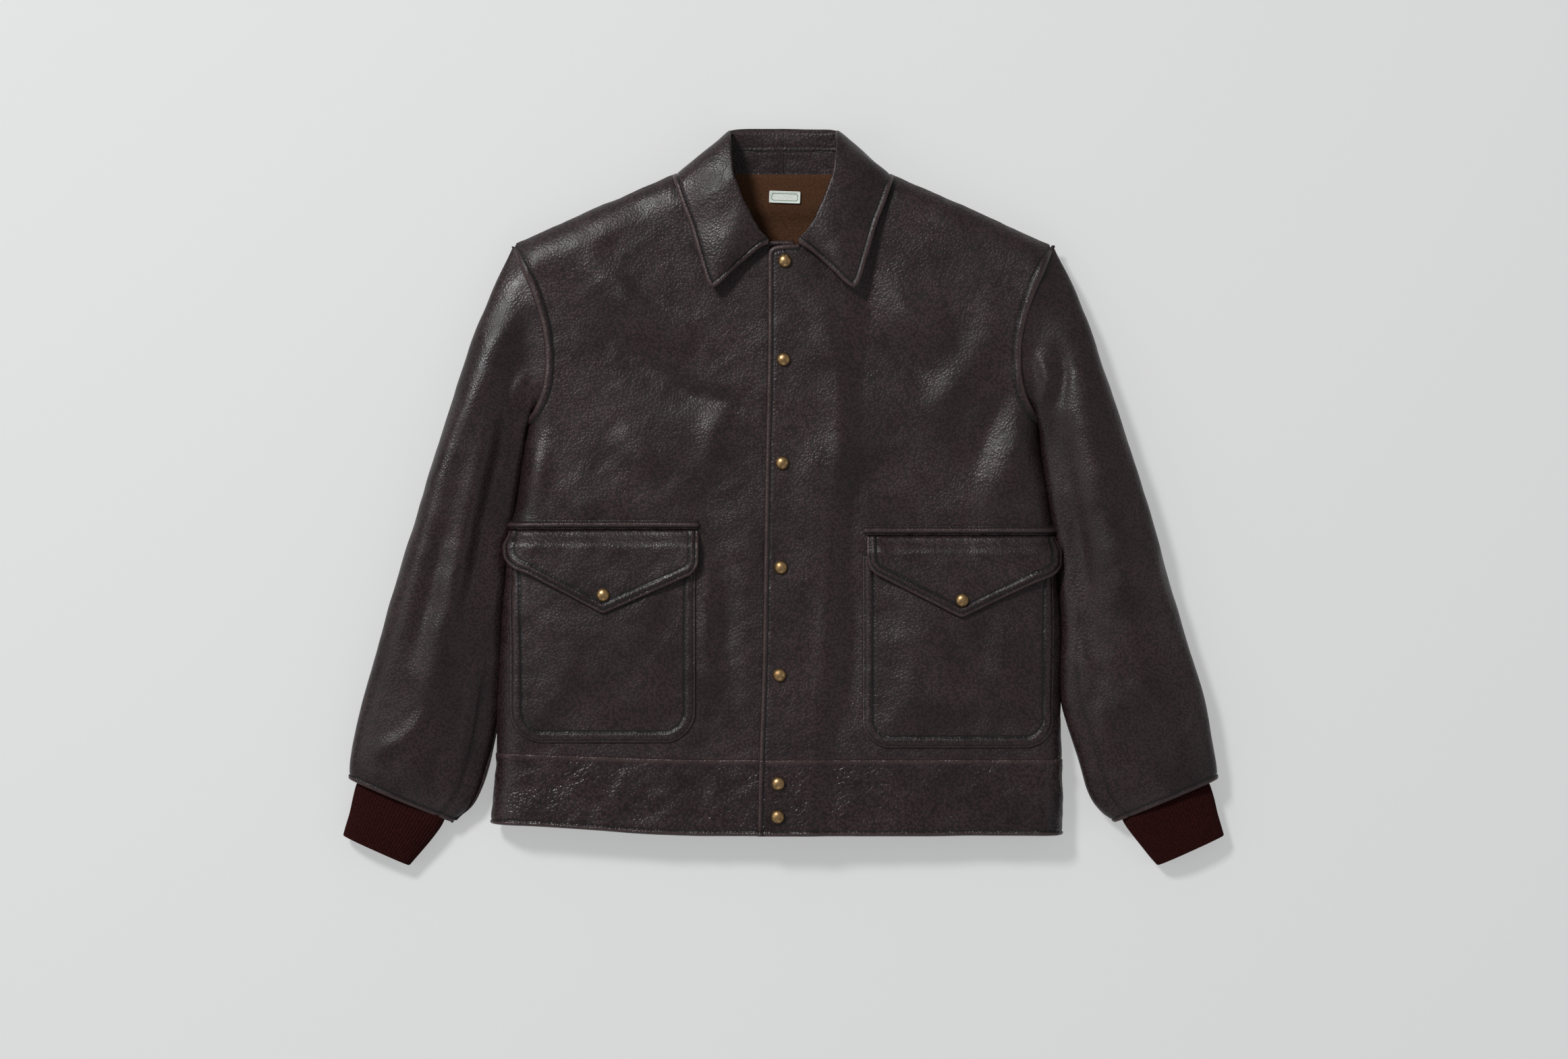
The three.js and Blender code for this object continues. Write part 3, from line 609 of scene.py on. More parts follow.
HIDE = leather("body_leather", 2.4, 0.16, 0.07, 0.42)
BAND_HIDE = leather("band_leather", 2.6, 0.20, 0.17, 0.34)
SLEEVE_HIDE = leather("sleeve_leather", 2.2, 0.13, 0.03, 0.40)
LINING = cloth("lining", "lining", (0.037, 0.0150, 0.0066), (0.088, 0.038, 0.0175), 1.1, 0.06)
KNIT = knit()
BRASS = aged_brass()
THREAD = plain("thread", "leather", (0.010, 0.0065, 0.006), 0.7, 0.5, 0.02)
PAPER = plain("label", "label", (0.84, 0.88, 0.81), 0.85, 0.5, 0.03)
GREEN = plain("label_border", "label", (0.20, 0.34, 0.25), 0.85, 0.4, 0.03)
SEWN = [HIDE, LINING, THREAD]
DOUBLE = [HIDE, HIDE, THREAD]
BANDED = [BAND_HIDE, HIDE, THREAD]
ARM_LEATHER = [SLEEVE_HIDE, SLEEVE_HIDE, THREAD]

# ---- The body's surface ----


class Surface:
    """The front or the back of the body. In its plans the rounded sides and shoulders are laid flat."""

    def __init__(self, side_roll, top_roll, seam_z, plane, top, up):
        self.side_roll, self.top_roll, self.seam_z = side_roll, top_roll, seam_z
        self.plane, self.top, self.up = plane, top, up
        rise = abs(seam_z - plane(0.0, 0.0))
        self.side_arc = np.pi / 2 * math.hypot(side_roll, rise) / math.sqrt(2)
        self.top_arc = np.pi / 2 * math.hypot(top_roll, rise) / math.sqrt(2)

    def starts(self, side, x, y):
        left, right = along(BODY_EDGE[1], y), along(BODY_EDGE[-1], y)
        edge = np.where(x > 0, left, right) if side == 0 else along(BODY_EDGE[side], y)
        return edge - self.side_roll, self.top(np.abs(x)) - self.top_roll

    def flatten(self, side, points):
        x, y = np.asarray(points, float).T
        edge, top = self.starts(side, x, y)
        bend = lambda over, roll, arc: arc * 2 / np.pi * np.arcsin(np.clip(over / roll, 0, 1))
        u = np.minimum(np.abs(x), edge) + bend(np.abs(x) - edge, self.side_roll, self.side_arc)
        u = np.where((side != 0) & (x < 0), x, u * np.sign(x))
        v = np.minimum(y, top) + bend(y - top, self.top_roll, self.top_arc)
        return np.column_stack([u, v])

    def raised(self, side, plan):
        """Points on the surface, and the outward direction at each."""
        u, v = np.asarray(plan, float).T
        x, y = u, v
        for _ in range(3):
            edge, top = self.starts(side, x, y)
            a = np.clip((np.abs(u) - edge) / self.side_arc, 0, 1) * np.pi / 2
            b = np.clip((v - top) / self.top_arc, 0, 1) * np.pi / 2
            a = np.where((side != 0) & (u < 0), 0, a)
            x = np.where(a > 0, np.sign(u) * (edge + self.side_roll * np.sin(a)), u)
            y = np.where(b > 0, top + self.top_roll * np.sin(b), v)
        full = np.cos(a) * np.cos(b)
        z = self.seam_z + (self.plane(x, y) - self.seam_z) * full
        out = np.column_stack([np.sin(a) * np.sign(u), np.sin(b), self.up * np.maximum(full, 0.02)])
        return np.column_stack([x, y, z]), out / norm(out, axis=1)[:, None]


def shoulder(x):
    return np.interp(x, [NECK_POINT[0], SHOULDER_TIP[0]], [NECK_POINT[1], SHOULDER_TIP[1]])


def back_top(x):
    return shoulder(x) + BACK_ROLL * np.clip((NECK_POINT[0] + 3 - x) / 9, 0, 1)


def back_plane(x, y):
    return NECK_STEP * ease(256, 274, y) * (1 - ease(112, 128, np.abs(x)))


def fold_line(y):
    return FOLD_HEM[0] + (FOLD_NECK[0] - FOLD_HEM[0]) * (y - FOLD_HEM[1]) / (FOLD_NECK[1] - FOLD_HEM[1])


FRONT = Surface(FRONT_ROLL, SHOULDER_ROLL, SEAM_Z + 0.5, lambda x, y: FRONT_Z + 0 * y, shoulder, 1)
BACK = Surface(BACK_ROLL, BACK_ROLL, SEAM_Z - 0.5, back_plane, back_top, -1)

# Soft folds on the two fronts, drawn as on the left: a line, its width and its height.
FOLDS = {
    1: [
        ([(88, 214), (118, 172), (160, 132)], 15, 2.0), ([(70, 178), (104, 140), (150, 96)], 11, -1.6),
        ([(232, 96), (214, 40), (196, -8)], 15, 2.4), ([(206, 176), (168, 118), (128, 62)], 17, 1.6),
        ([(216, 110), (190, 60), (176, 4)], 10, -1.4), ([(46, 120), (58, 60), (54, -12)], 13, 1.5),
        ([(62, -44), (66, -130), (60, -222)], 10, -1.6), ([(46, -60), (44, -150), (40, -230)], 12, 1.4),
        ([(64, -30), (84, -40), (100, -58)], 7, 1.2), ([(20, 190), (40, 160), (46, 120)], 12, 1.3),
    ],
    -1: [
        ([(206, 192), (150, 140), (96, 100), (34, 84)], 15, -2.0),
        ([(199, 238), (150, 186), (83, 134)], 19, 2.8), ([(52, 98), (66, 60), (78, 12)], 12, 1.8),
        ([(160, 66), (134, 40), (108, 18)], 14, 2.0),
        ([(110, 106), (70, 92), (22, 80)], 10, -1.5), ([(69, -48), (71, -120), (68, -196)], 10, 2.2),
        ([(87, 55), (60, -60), (30, -222)], 17, -1.9), ([(40, -40), (38, -140), (34, -230)], 12, 1.2),
        ([(236, 60), (230, 20), (236, -16)], 12, 1.7), ([(150, 226), (130, 190), (96, 170)], 9, -1.1),
    ],
}


def front_relief(side, x, y):
    h = 1.7 * noise(x, y, 64, 3 + side) + 0.85 * noise(x + 31, y, 33, 7 + side)
    h += 0.34 * noise(x + 0.4 * y, y + 9, 14, 11) + 0.14 * noise(x, y, 6, 5)
    here = np.column_stack([x, y])
    for points, width, height in FOLDS[side]:
        d, s = near(here, curve(points, 8))
        h = h + 1.7 * height * hump(d, width) * arch(s)
    return h


def on_front(side, extra=None):
    """Places a plan on the front, raised by extra, which is a function of the plan."""
    def place(plan):
        points, out = FRONT.raised(side, plan)
        x, y = points[:, 0].copy(), points[:, 1].copy()
        h = front_relief(side, x, y)
        if extra is not None:
            h = h + extra(np.asarray(plan, float))
        points = points + out * h[:, None]
        if side == 1:
            points[:, 2] += FRONT_LIFT * ease(4, 30, fold_line(y) - x)
        return points
    return place


def bead(d, row=EDGE_ROW, swell=0.9, groove=0.6, fall=1.2):
    """The rounded edge of turned leather, stitched down at row, against the distance from the edge."""
    rise = swell * arch(d / row) ** 0.8
    return rise - groove * hump(d - row, 0.75) - fall * lip(d, 1.3)


def puckers(d, s, length, seed, reach, cell=8):
    """Small waves that a line's stitches draw up, against the distance from it and the place along it."""
    return noise(s * length, d * 0.2, cell, seed) * np.exp(-d / reach)


def seam(d, s, length):
    """A seam's groove and its puckers."""
    return -1.1 * hump(d, 1.5) + 0.4 * hump(d - 4, 2.2) + 0.4 * puckers(d, s, length, 21, 7)


def edge_lines(line, at=(0.7, 1.6, 2.7, 3.8, 4.6, 5.2, 5.8, 6.8), step=2.2):
    """Lines beside a line, where a sheet gets extra points."""
    return [resample(offset(line, d), step) for d in at if len(offset(line, d)) > 2]


def rub_highlight_and_groove_shade(d, rows, width=2.7):
    """The colour value at a distance from an edge: lighter on the edge's roll, as scuffing and a painted
    highlight, and painted shade in the stitched grooves.
    """
    dark = sum(hump(d - row, 0.85) for row in rows)
    return hump(d - 1.9, width) - 1.6 * dark


def edge_wear_and_painted_light(*edges):
    """The colour value of a sheet whose turned edges are given as pairs of a line and its stitch rows:
    scuffing and a painted highlight on the edges, painted shade in the grooves.
    """
    def wear_and_light_marks(plan):
        each = [rub_highlight_and_groove_shade(near(plan, line)[0], rows) for line, rows in edges]
        return np.maximum.reduce(each) + np.minimum(np.minimum.reduce(each), 0)
    return wear_and_light_marks


def neckline(start, end, count=24):
    a = np.linspace(start, end, count)
    return [(NECK_HALF * math.sin(t), NECK_POINT[1] - NECK_DROP * math.cos(t)) for t in a]


FRONT_TOP = {
    1: [(12, 236.6), (0, 236.2), (-8, 235), (-12.5, 232.5), (-14.4, 228), (-14.8, 222)],
    -1: [(15, 238), (10, 240.2), (-7, 240.2), (-11, 238.5), (-12, 233)],
}
SIDES = {1: "left", -1: "right"}
OVERLAP = 1.5  # of a sleeve's top under the body's turned edge


def free_edge(side, low, top, step=2.4):
    rows = FREE_EDGE[side]
    inner = [(x, y) for y, x in rows if low + 8 < y < top - 8]
    ends = [(float(along(rows, top)), top)], [(float(along(rows, low)), low)]
    return curve(ends[0] + inner + ends[1], step)


def make_front(side):
    low = BAND_SEAM_Y - 1.5
    top = FRONT_TOP[side]
    ys = np.linspace(low, ARMPIT_Y, 60)
    side_seam = np.column_stack([along(BODY_EDGE[side], ys), ys])
    armhole = curve(ARMHOLE[::-1], 2.4)[:-2]
    shoulder_seam = resample([SHOULDER_TIP, NECK_POINT], 3)
    begin = math.asin(top[0][0] / NECK_HALF)
    neck = resample(neckline(math.pi / 2, begin), 2.5)
    front = np.vstack([curve(top, 2.2), free_edge(side, low, top[-1][1] - 3)])
    parts = [FRONT.flatten(side, p) for p in (side_seam, armhole, shoulder_seam, neck, front)]
    side_seam, armhole, shoulder_seam, neck, front = parts
    bottom = resample([front[-1], side_seam[0]], 3)[1:-1]
    outline = np.vstack([side_seam, armhole[1:], shoulder_seam[2:], neck[1:], front, bottom])
    outline = outline[norm(outline - np.roll(outline, 1, axis=0), axis=1) > 0.4]
    outer_seams = np.vstack([side_seam, armhole[:1]])

    def extra(plan):
        h = bead(near(plan, front)[0])
        d, s = near(plan, armhole)
        roll = bead(d, ARM_ROW, 1.7, 0.7, 0.6) + 1.2 * hump(d, 9)
        h = h + (roll + 0.35 * puckers(d, s, 190, 4, 14)) * ease(1.0, 0.88, s)
        d, s = near(plan, outer_seams)
        h = h + seam(d, s, 330)
        d, s = near(plan, shoulder_seam)
        h = h + seam(d, s, 165)
        d, s = near(plan, bottom)
        return h + 0.5 * puckers(d, s, 230, 8, 11, 9) - 0.9 * hump(d, 2.5)

    arm_lines = edge_lines(armhole, (0.8, 2, 3.4, 5, 6.4, 7.3, 8, 8.7, 10), 2.4)
    lines = edge_lines(front) + arm_lines
    for line in (side_seam, shoulder_seam, bottom):
        lines += edge_lines(line, SEAM_LINES, 3)
    rows = [offset(front, EDGE_ROW), offset(armhole, ARM_ROW)]
    sewn = [(line, [0]) for line in (outer_seams, shoulder_seam, bottom)]
    wear_and_light_marks = edge_wear_and_painted_light((front, [EDGE_ROW]), (armhole, [ARM_ROW]), *sewn)
    name = SIDES[side]
    place = on_front(side, extra)
    piece = sheet(f"front_{name}", side, outline, place, SEWN, 2.6, lines, rows, THICK, wear_and_light_marks)
    nodes = ("front_panel", "front_lining", "front_edge", "front_facing")
    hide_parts(*(f"{node}_{name}" for node in nodes))
    fold_back(piece, side)


def fold_back(piece, side):
    """Bakes a piece's transform into its mesh."""
    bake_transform(piece)


def hem(side, x, y=HEM_Y, rise=11):
    """The hem rises a little towards the right side seam."""
    return y + (0 if side == 1 else rise) * ease(60, 300, np.abs(x)) * np.sign(np.maximum(x, 0))


def band_top(side, x):
    return hem(side, x, BAND_SEAM_Y, 6)


def make_band(side):
    low, high = float(along(FREE_EDGE[side], HEM_Y)), float(along(FREE_EDGE[side], BAND_SEAM_Y))
    edge_low, edge_high = (float(along(BODY_EDGE[side], y)) for y in (HEM_Y, BAND_SEAM_Y))
    xs = np.linspace(low, edge_low - 0.01, 130)
    bottom = np.column_stack([xs, hem(side, xs) + 0.5 * noise(xs, 0 * xs, 45, 31)])
    xs = np.linspace(edge_high - 0.01, high, 130)
    top = np.column_stack([xs, band_top(side, xs) + 1.5])
    bottom, top = FRONT.flatten(side, bottom), FRONT.flatten(side, top)
    bottom[-1, 0] += 0.2
    side_seam = resample([bottom[-1], top[0]], 2.5)
    end = resample([top[-1], bottom[0]], 2.5)
    outline = np.vstack([bottom, side_seam[1:], top[1:], end[1:-1]])

    def extra(plan):
        h = bead(near(plan, bottom)[0], HEM_ROW, 1.0, 0.6, 1.3) + bead(near(plan, end)[0])
        d, s = near(plan, top)
        h = h + 0.8 * hump(d, 3.2) - 0.9 * lip(d, 1.1)
        h = h + 0.4 * puckers(d, s, 280, 9, 9)
        d, s = near(plan, side_seam)
        x, y = plan.T
        creases = 0.5 * noise(x + 0.4 * y, y, 9, 12) + 0.7 * noise(x, y * 0.7, 21, 13)
        return h + seam(d, s, 70) + 1.0 + creases

    lines = edge_lines(bottom) + edge_lines(end) + edge_lines(top, BAND_LINES, 2.6)
    name = SIDES[side]
    rows = [offset(bottom, HEM_ROW), offset(end, EDGE_ROW)]
    wear_and_light_marks = edge_wear_and_painted_light((bottom, [HEM_ROW]), (end, [EDGE_ROW]), (top, []))
    place = on_front(side, extra)
    piece = sheet(f"hem_band_{name}", side, outline, place, BANDED, 2.4, lines, rows, 3.2, wear_and_light_marks)
    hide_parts(f"waistband_{name}", f"waistband_end_{name}")
    fold_back(piece, side)


def back_relief(x, y):
    return 0.7 * noise(x, y, 64, 41) + 0.5 * noise(x, y, 30, 42) + 0.25 * noise(x, y, 13, 43)


def on_back(extra):
    """Places a plan on the back, raised by extra. Nothing goes below the ground."""
    def place(plan):
        points, out = BACK.raised(0, plan)
        h = back_relief(points[:, 0], points[:, 1]) + extra(np.asarray(plan, float))
        low = -out[:, 2]
        h = np.where(low > 0.5, np.minimum(h, 0.9) - 1.0 * low, h - 0.5)
        points = points + out * h[:, None]
        points[:, 2] = np.maximum(points[:, 2], 0.05)
        return points
    return place


def half_outline(side, low, top_points):
    """One half of the back's outline from the hem side upwards."""
    ys = np.linspace(low, ARMPIT_Y, 50)
    seam_line = np.column_stack([along(BODY_EDGE[side], ys), ys])
    armhole = curve(ARMHOLE[::-1], 2.8)[1:-2]
    return np.vstack([seam_line, armhole, resample([SHOULDER_TIP, NECK_POINT], 3)[2:], top_points])


def mirror_x(points):
    return np.asarray(points, float) * np.array([-1, 1])


def make_back():
    neck = [(104.5, 304.6)]
    left = half_outline(1, BAND_SEAM_Y - 1.5, neck)
    right = mirror_x(half_outline(-1, BAND_SEAM_Y - 1.5, neck))[::-1]
    across = resample([left[-1], right[0]], 3)[1:-1]
    bottom = resample([right[-1], left[0]], 3)[1:-1]
    parts = [BACK.flatten(0, part) for part in (left, across, right, bottom)]
    outline = np.vstack(parts)
    outline = outline[norm(outline - np.roll(outline, 1, axis=0), axis=1) > 0.4]
    left, _, right, _ = parts

    def extra(plan):
        return seam(*near(plan, left[2:-2]), 480) + seam(*near(plan, right[2:-2]), 480)

    lines = edge_lines(left, SEAM_LINES, 3) + edge_lines(right, SEAM_LINES, 3)
    place = on_back(extra)
    piece = sheet("back", 1, outline, place, SEWN, 3.4, lines, (), THICK, None, True, (left, right))
    attach(piece, "shell", "leather", "back_panel", "back_lining")


def make_back_band():
    def ends(y):
        return [side * (float(along(BODY_EDGE[side], y)) - 0.01) for side in (-1, 1)]

    xs = np.linspace(*ends(HEM_Y), 220)
    bottom = BACK.flatten(0, np.column_stack([xs, np.where(xs < 0, hem(-1, -xs), HEM_Y)]))
    xs = np.linspace(*ends(BAND_SEAM_Y)[::-1], 220)
    high = np.where(xs < 0, band_top(-1, -xs), BAND_SEAM_Y)
    top = BACK.flatten(0, np.column_stack([xs, high + 1.5]))
    left = resample([bottom[-1], top[0]], 2.5)
    right = resample([top[-1], bottom[0]], 2.5)
    outline = np.vstack([bottom, left[1:], top[1:], right[1:-1]])

    def extra(plan):
        d, _ = near(plan, top)
        return bead(near(plan, bottom)[0], HEM_ROW) + 0.8 * hump(d, 3.2)

    lines = edge_lines(bottom) + edge_lines(top, BAND_LINES, 3)
    rows = [offset(bottom, HEM_ROW)]
    wear_and_light_marks = edge_wear_and_painted_light((bottom, [HEM_ROW]), (top, []))
    place = on_back(extra)
    piece = sheet("hem_band_back", 1, outline, place, BANDED, 3.0, lines, rows, 3.0, wear_and_light_marks, True)
    attach(piece, "shell", "leather", "back_waistband")


# ---- Pockets ----
POCKETS = {
    1: {
        "x": (73.8, 252.5), "y": (-233.7, -54), "corner": 23, "snap": (166.8, -95.5),
        "welt": (75.5, 254, -35, -26.2),
        "flap": [(77.6, -36, 1), (253.2, -36, 1), (253.4, -70.8, 9), (166.2, -112.3, 2.5), (78.0, -67.5, 9)],
    },
    -1: {
        "x": (82, 255), "y": (-229, -48), "corner": 26, "snap": (168, -90.5),
        "welt": (79, 256.5, -29.5, -20.8),
        "flap": [(79, -30.5, 1), (255, -30.5, 1), (254.4, -62.8, 9), (168.3, -108.5, 2.5), (79, -69, 9)],
    },
}
POCKET_EDGE = 2.0  # a pocket's edge over the front, and its middle
POCKET_RISE = 6.2
FLAP_ROOT = 3.4  # a flap's seam over the front, and its middle
FLAP_RISE = 10.4
POCKET_ROWS = (2.6, 10.3)
FLAP_ROWS = (3.5, 9.0)
STUD_DROP = {1: 4.1386, -1: 4.0836}  # how far a pocket's stud sits under the pocket's face
WELT_ROWS = (0.86, 0.19)  # as shares of a welt's width


def channel(d, rows):
    """The rounded channel between two stitch rows."""
    first, second = rows
    h = arch((d - first) / (second - first)) ** 0.7
    h -= 0.5 * hump(d - first, 0.7) + 0.6 * hump(d - second, 0.8)
    return h - 0.9 * lip(d, 1.2)


def make_patch(side):
    """The pocket itself. Gives back the function that places its plan."""
    shape, name = POCKETS[side], SIDES[side]
    (x0, x1), (y0, y1), r = shape["x"], shape["y"], shape["corner"]
    border = rounded([(x0, y1, 0), (x0, y0, r), (x1, y0, r), (x1, y1, 0)], 2.4)
    steps = norm(border - np.roll(border, 1, axis=0), axis=1)
    x, y = border.T
    on_mouth = (np.abs(y - y1) < 0.01) & (x > x0 + 0.5) & (x < x1 - 0.5)
    border = FRONT.flatten(side, border[~on_mouth & (steps > 0.01)])
    mouth = resample([border[-1], border[0]], 3)[1:-1]
    sag_line = curve([(x0 + 26, y0 + 120), (x0 + 60, y0 + 70), (x1 - 50, y0 + 26)], 8)

    def extra(plan):
        d, s = near(plan, border)
        x, y = plan.T
        h = POCKET_EDGE + channel(d, POCKET_ROWS) + (POCKET_RISE - POCKET_EDGE) * ease(9, 55, d)
        h += 0.3 * puckers(d, s, 560, 15, 14)
        h += 0.55 * noise(x, y, 24, 51 + side) * ease(6, 30, d)
        sag, _ = near(plan, sag_line)
        return h - 1.5 * hump(sag, 16) * ease(6, 30, d)

    lines = edge_lines(border, (0.7, 1.7, 2.6, 3.6, 5, 6.5, 8, 9.4, 10.3, 11.2, 12.6), 2.3)
    rows = [offset(border, row) for row in POCKET_ROWS]
    wear_and_light_marks = edge_wear_and_painted_light((border, POCKET_ROWS))
    place = on_front(side, extra)
    outline = np.vstack([border, mouth])
    pocket = sheet(f"patch_pocket_{name}", side, outline, place, SEWN, 2.6, lines, rows, 1.8, wear_and_light_marks)
    attach(pocket, "shell", "leather", f"pocket_{name}")
    return place


def make_flap(side):
    shape, name = POCKETS[side], SIDES[side]
    outline = FRONT.flatten(side, rounded(shape["flap"], 2.2))
    snap = FRONT.flatten(side, [shape["snap"]])
    seam_y = shape["flap"][0][1]
    border = outline[outline[:, 1] < seam_y - 0.6]
    border = border[np.argsort(np.arctan2(border[:, 0] - snap[0, 0], seam_y - border[:, 1]))]

    def extra(plan):
        d, s = near(plan, border)
        x, y = plan.T
        h = FLAP_ROOT + (FLAP_RISE - FLAP_ROOT) * ease(0, 16, seam_y - y) + channel(d, FLAP_ROWS)
        h += 0.5 * noise(x, y, 26, 61 + side) + 0.25 * puckers(d, s, 300, 16, 12)
        return h - 0.6 * hump(norm(plan - snap, axis=1), 9)

    lines = edge_lines(border, (0.7, 1.7, 2.7, 3.5, 4.4, 5.6, 6.8, 8, 9, 10, 11.3), 2.2)
    rows = [offset(border, row) for row in FLAP_ROWS]
    place = on_front(side, extra)
    wear_and_light_marks = edge_wear_and_painted_light((border, FLAP_ROWS))
    flap = sheet(f"flap_{name}", side, outline, place, DOUBLE, 2.4, lines, rows, 2.0, wear_and_light_marks)
    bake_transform(flap)
    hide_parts(f"pocket_flap_{name}")
    brass_cap(f"flap_button_{name}", side, place(snap)[0], f"{name}_flap", f"flap_cap_{name}", 2.0)


def make_welt(side):
    name = SIDES[side]
    a, b, y0, y1 = POCKETS[side]["welt"]
    outline = FRONT.flatten(side, rounded([(a, y0, 2), (b, y0, 2), (b, y1, 2), (a, y1, 2)], 2.0))
    rows = [FRONT.flatten(side, resample([(a + 1, y), (b - 1, y)], 1)) for y in (y1 - 1.3, y0 + 1.7)]

    def share(plan):
        return (plan[:, 1] - y0) / (y1 - y0)

    def extra(plan):
        t = share(plan)
        h = 2.2 + 2.6 * arch((t - 0.12) / 0.76) ** 0.7
        h = h + 0.25 * noise(plan[:, 0], plan[:, 1] * 0.3, 9, 71)
        return h - 0.9 * hump(t - WELT_ROWS[0], 0.05) - 0.6 * hump(t - WELT_ROWS[1], 0.05)

    # Painted highlight along the welt's roll, and painted shade in its two stitch rows.
    def wear_and_light_marks(plan):
        t = share(plan)
        return hump(t - 0.5, 0.25) * 0.8 - 1.2 * sum(hump(t - row, 0.05) for row in WELT_ROWS)

    middle = resample([(a, (y0 + y1) / 2), (b, (y0 + y1) / 2)], 2)
    beside = (-3.6, -2.7, -1.8, -0.9, 0, 0.9, 1.8, 2.5, 3.1, 3.8)
    lines = [FRONT.flatten(side, middle + [0, d]) for d in beside]
    welt = sheet(f"welt_{name}", side, outline, on_front(side, extra), DOUBLE, 2.2, lines, rows, 1.6, wear_and_light_marks)
    attach(welt, "shell", "leather", f"pocket_welt_{name}")


def make_pocket(side):
    name = SIDES[side]
    place = make_patch(side)
    make_flap(side)
    seat = place(FRONT.flatten(side, [POCKETS[side]["snap"]]))[0] - [0, 0, STUD_DROP[side]]
    brass_stud(f"pocket_stud_{name}", side, seat, "shell", f"flap_stud_{name}", 1.8)
    make_welt(side)


# ---- Snaps ----
CAP_RADIUS = 6.4
SOCKET_RADIUS = 5.0


def brass_cap(name, side, seat, body, node, grip):
    """A domed cap on the leather, with its post and its socket under it. seat is the leather's face."""
    dome = [(CAP_RADIUS * math.cos(a) ** 0.9, 1.0 + 4.6 * math.sin(a)) for a in np.linspace(0.12, 1.5, 12)]
    below = -grip
    profile = [
        (0, below - 1.2), (2.2, below - 1.2), (2.4, below - 2.0), (4.4, below - 2.0),
        (SOCKET_RADIUS, below - 1.5), (SOCKET_RADIUS, below - 0.2), (4.6, below), (1.8, below),
        (1.8, 0.1), (5.2, 0.1), (CAP_RADIUS - 0.4, 0.2), (CAP_RADIUS, 0.6), (CAP_RADIUS, 1.0),
        *dome, (0, 5.6),
    ]
    attach(lathe(name, side, profile, seat - [0, 0, 0.15], BRASS, 48), body, "brass", node)


def brass_stud(name, side, seat, body, node, grip):
    """The stud that a cap's socket snaps on, with its base behind the leather."""
    base = -grip - 0.2
    profile = [
        (0, base - 1.4), (4.4, base - 1.4), (SOCKET_RADIUS, base - 1.0), (SOCKET_RADIUS, base),
        (1.6, base), (1.6, 0.0), (4.2, 0.0), (4.4, 0.3), (4.0, 0.6), (2.1, 0.7), (1.7, 1.1),
        (2.0, 1.6), (1.5, 2.0), (0, 2.1),
    ]
    attach(lathe(name, side, profile, seat, BRASS, 32), body, "brass", node)


SNAP_Y = [221, 129, 32.5, -65, -165.5, -266.5, -297.5]
SNAP_X = (1.3, -5.5)  # at the top snap and at the hem
ON_BAND = 1.2  # the band over the front


def make_snaps():
    upper, under = on_front(1), on_front(-1)
    for i, y in enumerate(SNAP_Y, 1):
        x = float(along([(SNAP_Y[0], SNAP_X[0]), (HEM_Y, SNAP_X[1])], y))
        lift = [0, 0, ON_BAND if y < BAND_SEAM_Y else 0.0]
        seat = upper(np.array([[x, y]]))[0] + lift
        brass_cap(f"front_button_{i}", 1, seat, "left_front", f"snap_cap_{i}", THICK)
        seat = under(np.array([[-x, y]]))[0] + lift
        brass_stud(f"front_stud_{i}", -1, seat, "right_front", f"snap_stud_{i}", THICK)


# ---- Collar ----
# The rows go round the neck from the front end to the middle of the back. Each holds the stand's
# seam and its top, on the inside, then the collar's roll and the leaf's free edge, on the outside.
COLLAR = [
    [(13.8, 237.5, 40), (14.5, 241, 44), (14, 241.5, 47.5), (14.5, 236.5, 47.5)],
    [(18, 238, 40), (18, 244, 46), (17.5, 243.5, 50), (24, 230.5, 47.6)],
    [(24, 239, 40.2), (22.8, 248, 47), (22, 247, 51.3), (36.5, 220, 47.6)],
    [(32, 240.8, 40.3), (27, 253, 48), (26, 252, 52.4), (49.5, 207.8, 50.0)],
    [(40, 243.2, 40.5), (31.5, 259, 49), (30, 257.5, 53.5), (59.5, 197.9, 52.5)],
    [(46, 245.5, 40.6), (34.6, 265.5, 49.2), (33, 264, 54), (67.2, 195.6, 53.3)],
    [(52, 248.2, 40.8), (37, 271, 49.4), (35.6, 270, 54.3), (72.6, 204, 52.6)],
    [(62, 253, 41), (40.5, 278, 49.5), (39, 277, 54.5), (78, 222, 50.4)],
    [(76, 262.4, 41), (47, 294.5, 47.5), (45, 293, 53.5), (87.8, 255, 47.5)],
    [(84.5, 270, 41), (49, 301, 46.5), (47.8, 300, 52.8), (92.4, 267, 46.2)],
    [(93, 284, 35.5), (50, 318, 41.5), (50.3, 318, 48), (98.2, 283, 43.5)],
    [(95.5, 294, 29.5), (50.5, 332, 33.5), (52, 334, 40), (101.8, 293.5, 39)],
    [(96, 300, 22), (50.5, 337.5, 24), (52.5, 341.5, 29.5), (103.8, 299.5, 30)],
    [(93, 304, 12.5), (49.5, 339.5, 15.5), (52.5, 343.8, 16), (103, 301, 13)],
    [(86, 304.3, 9), (47, 340.5, 12), (50.5, 344.6, 9.5), (97, 300, 3.4)],
    [(68, 304.3, 7.4), (40, 341, 11), (42, 345.4, 6.8), (80, 291, 2.0)],
    [(36, 304.3, 7.2), (22, 341.5, 10), (22, 345.5, 6), (40, 288, 2.0)],
    [(0, 304.3, 7.2), (0, 342, 9.6), (0, 345.5, 6), (0, 287, 2.0)],
]
COLLAR_ROW = 5.4
COLLAR_ROWS = 300  # of the mesh
LEAF_COLUMNS = 54
STAND_COLUMNS = 34
# How far the leaf's last columns are from its edge.
LEAF_LINES = (13, 11.5, 10, 8.7, 7.5, 6.6, 6, 5.4, 4.8, 4.1, 3.3, 2.5, 1.7, 1.0, 0.5, 0.0)


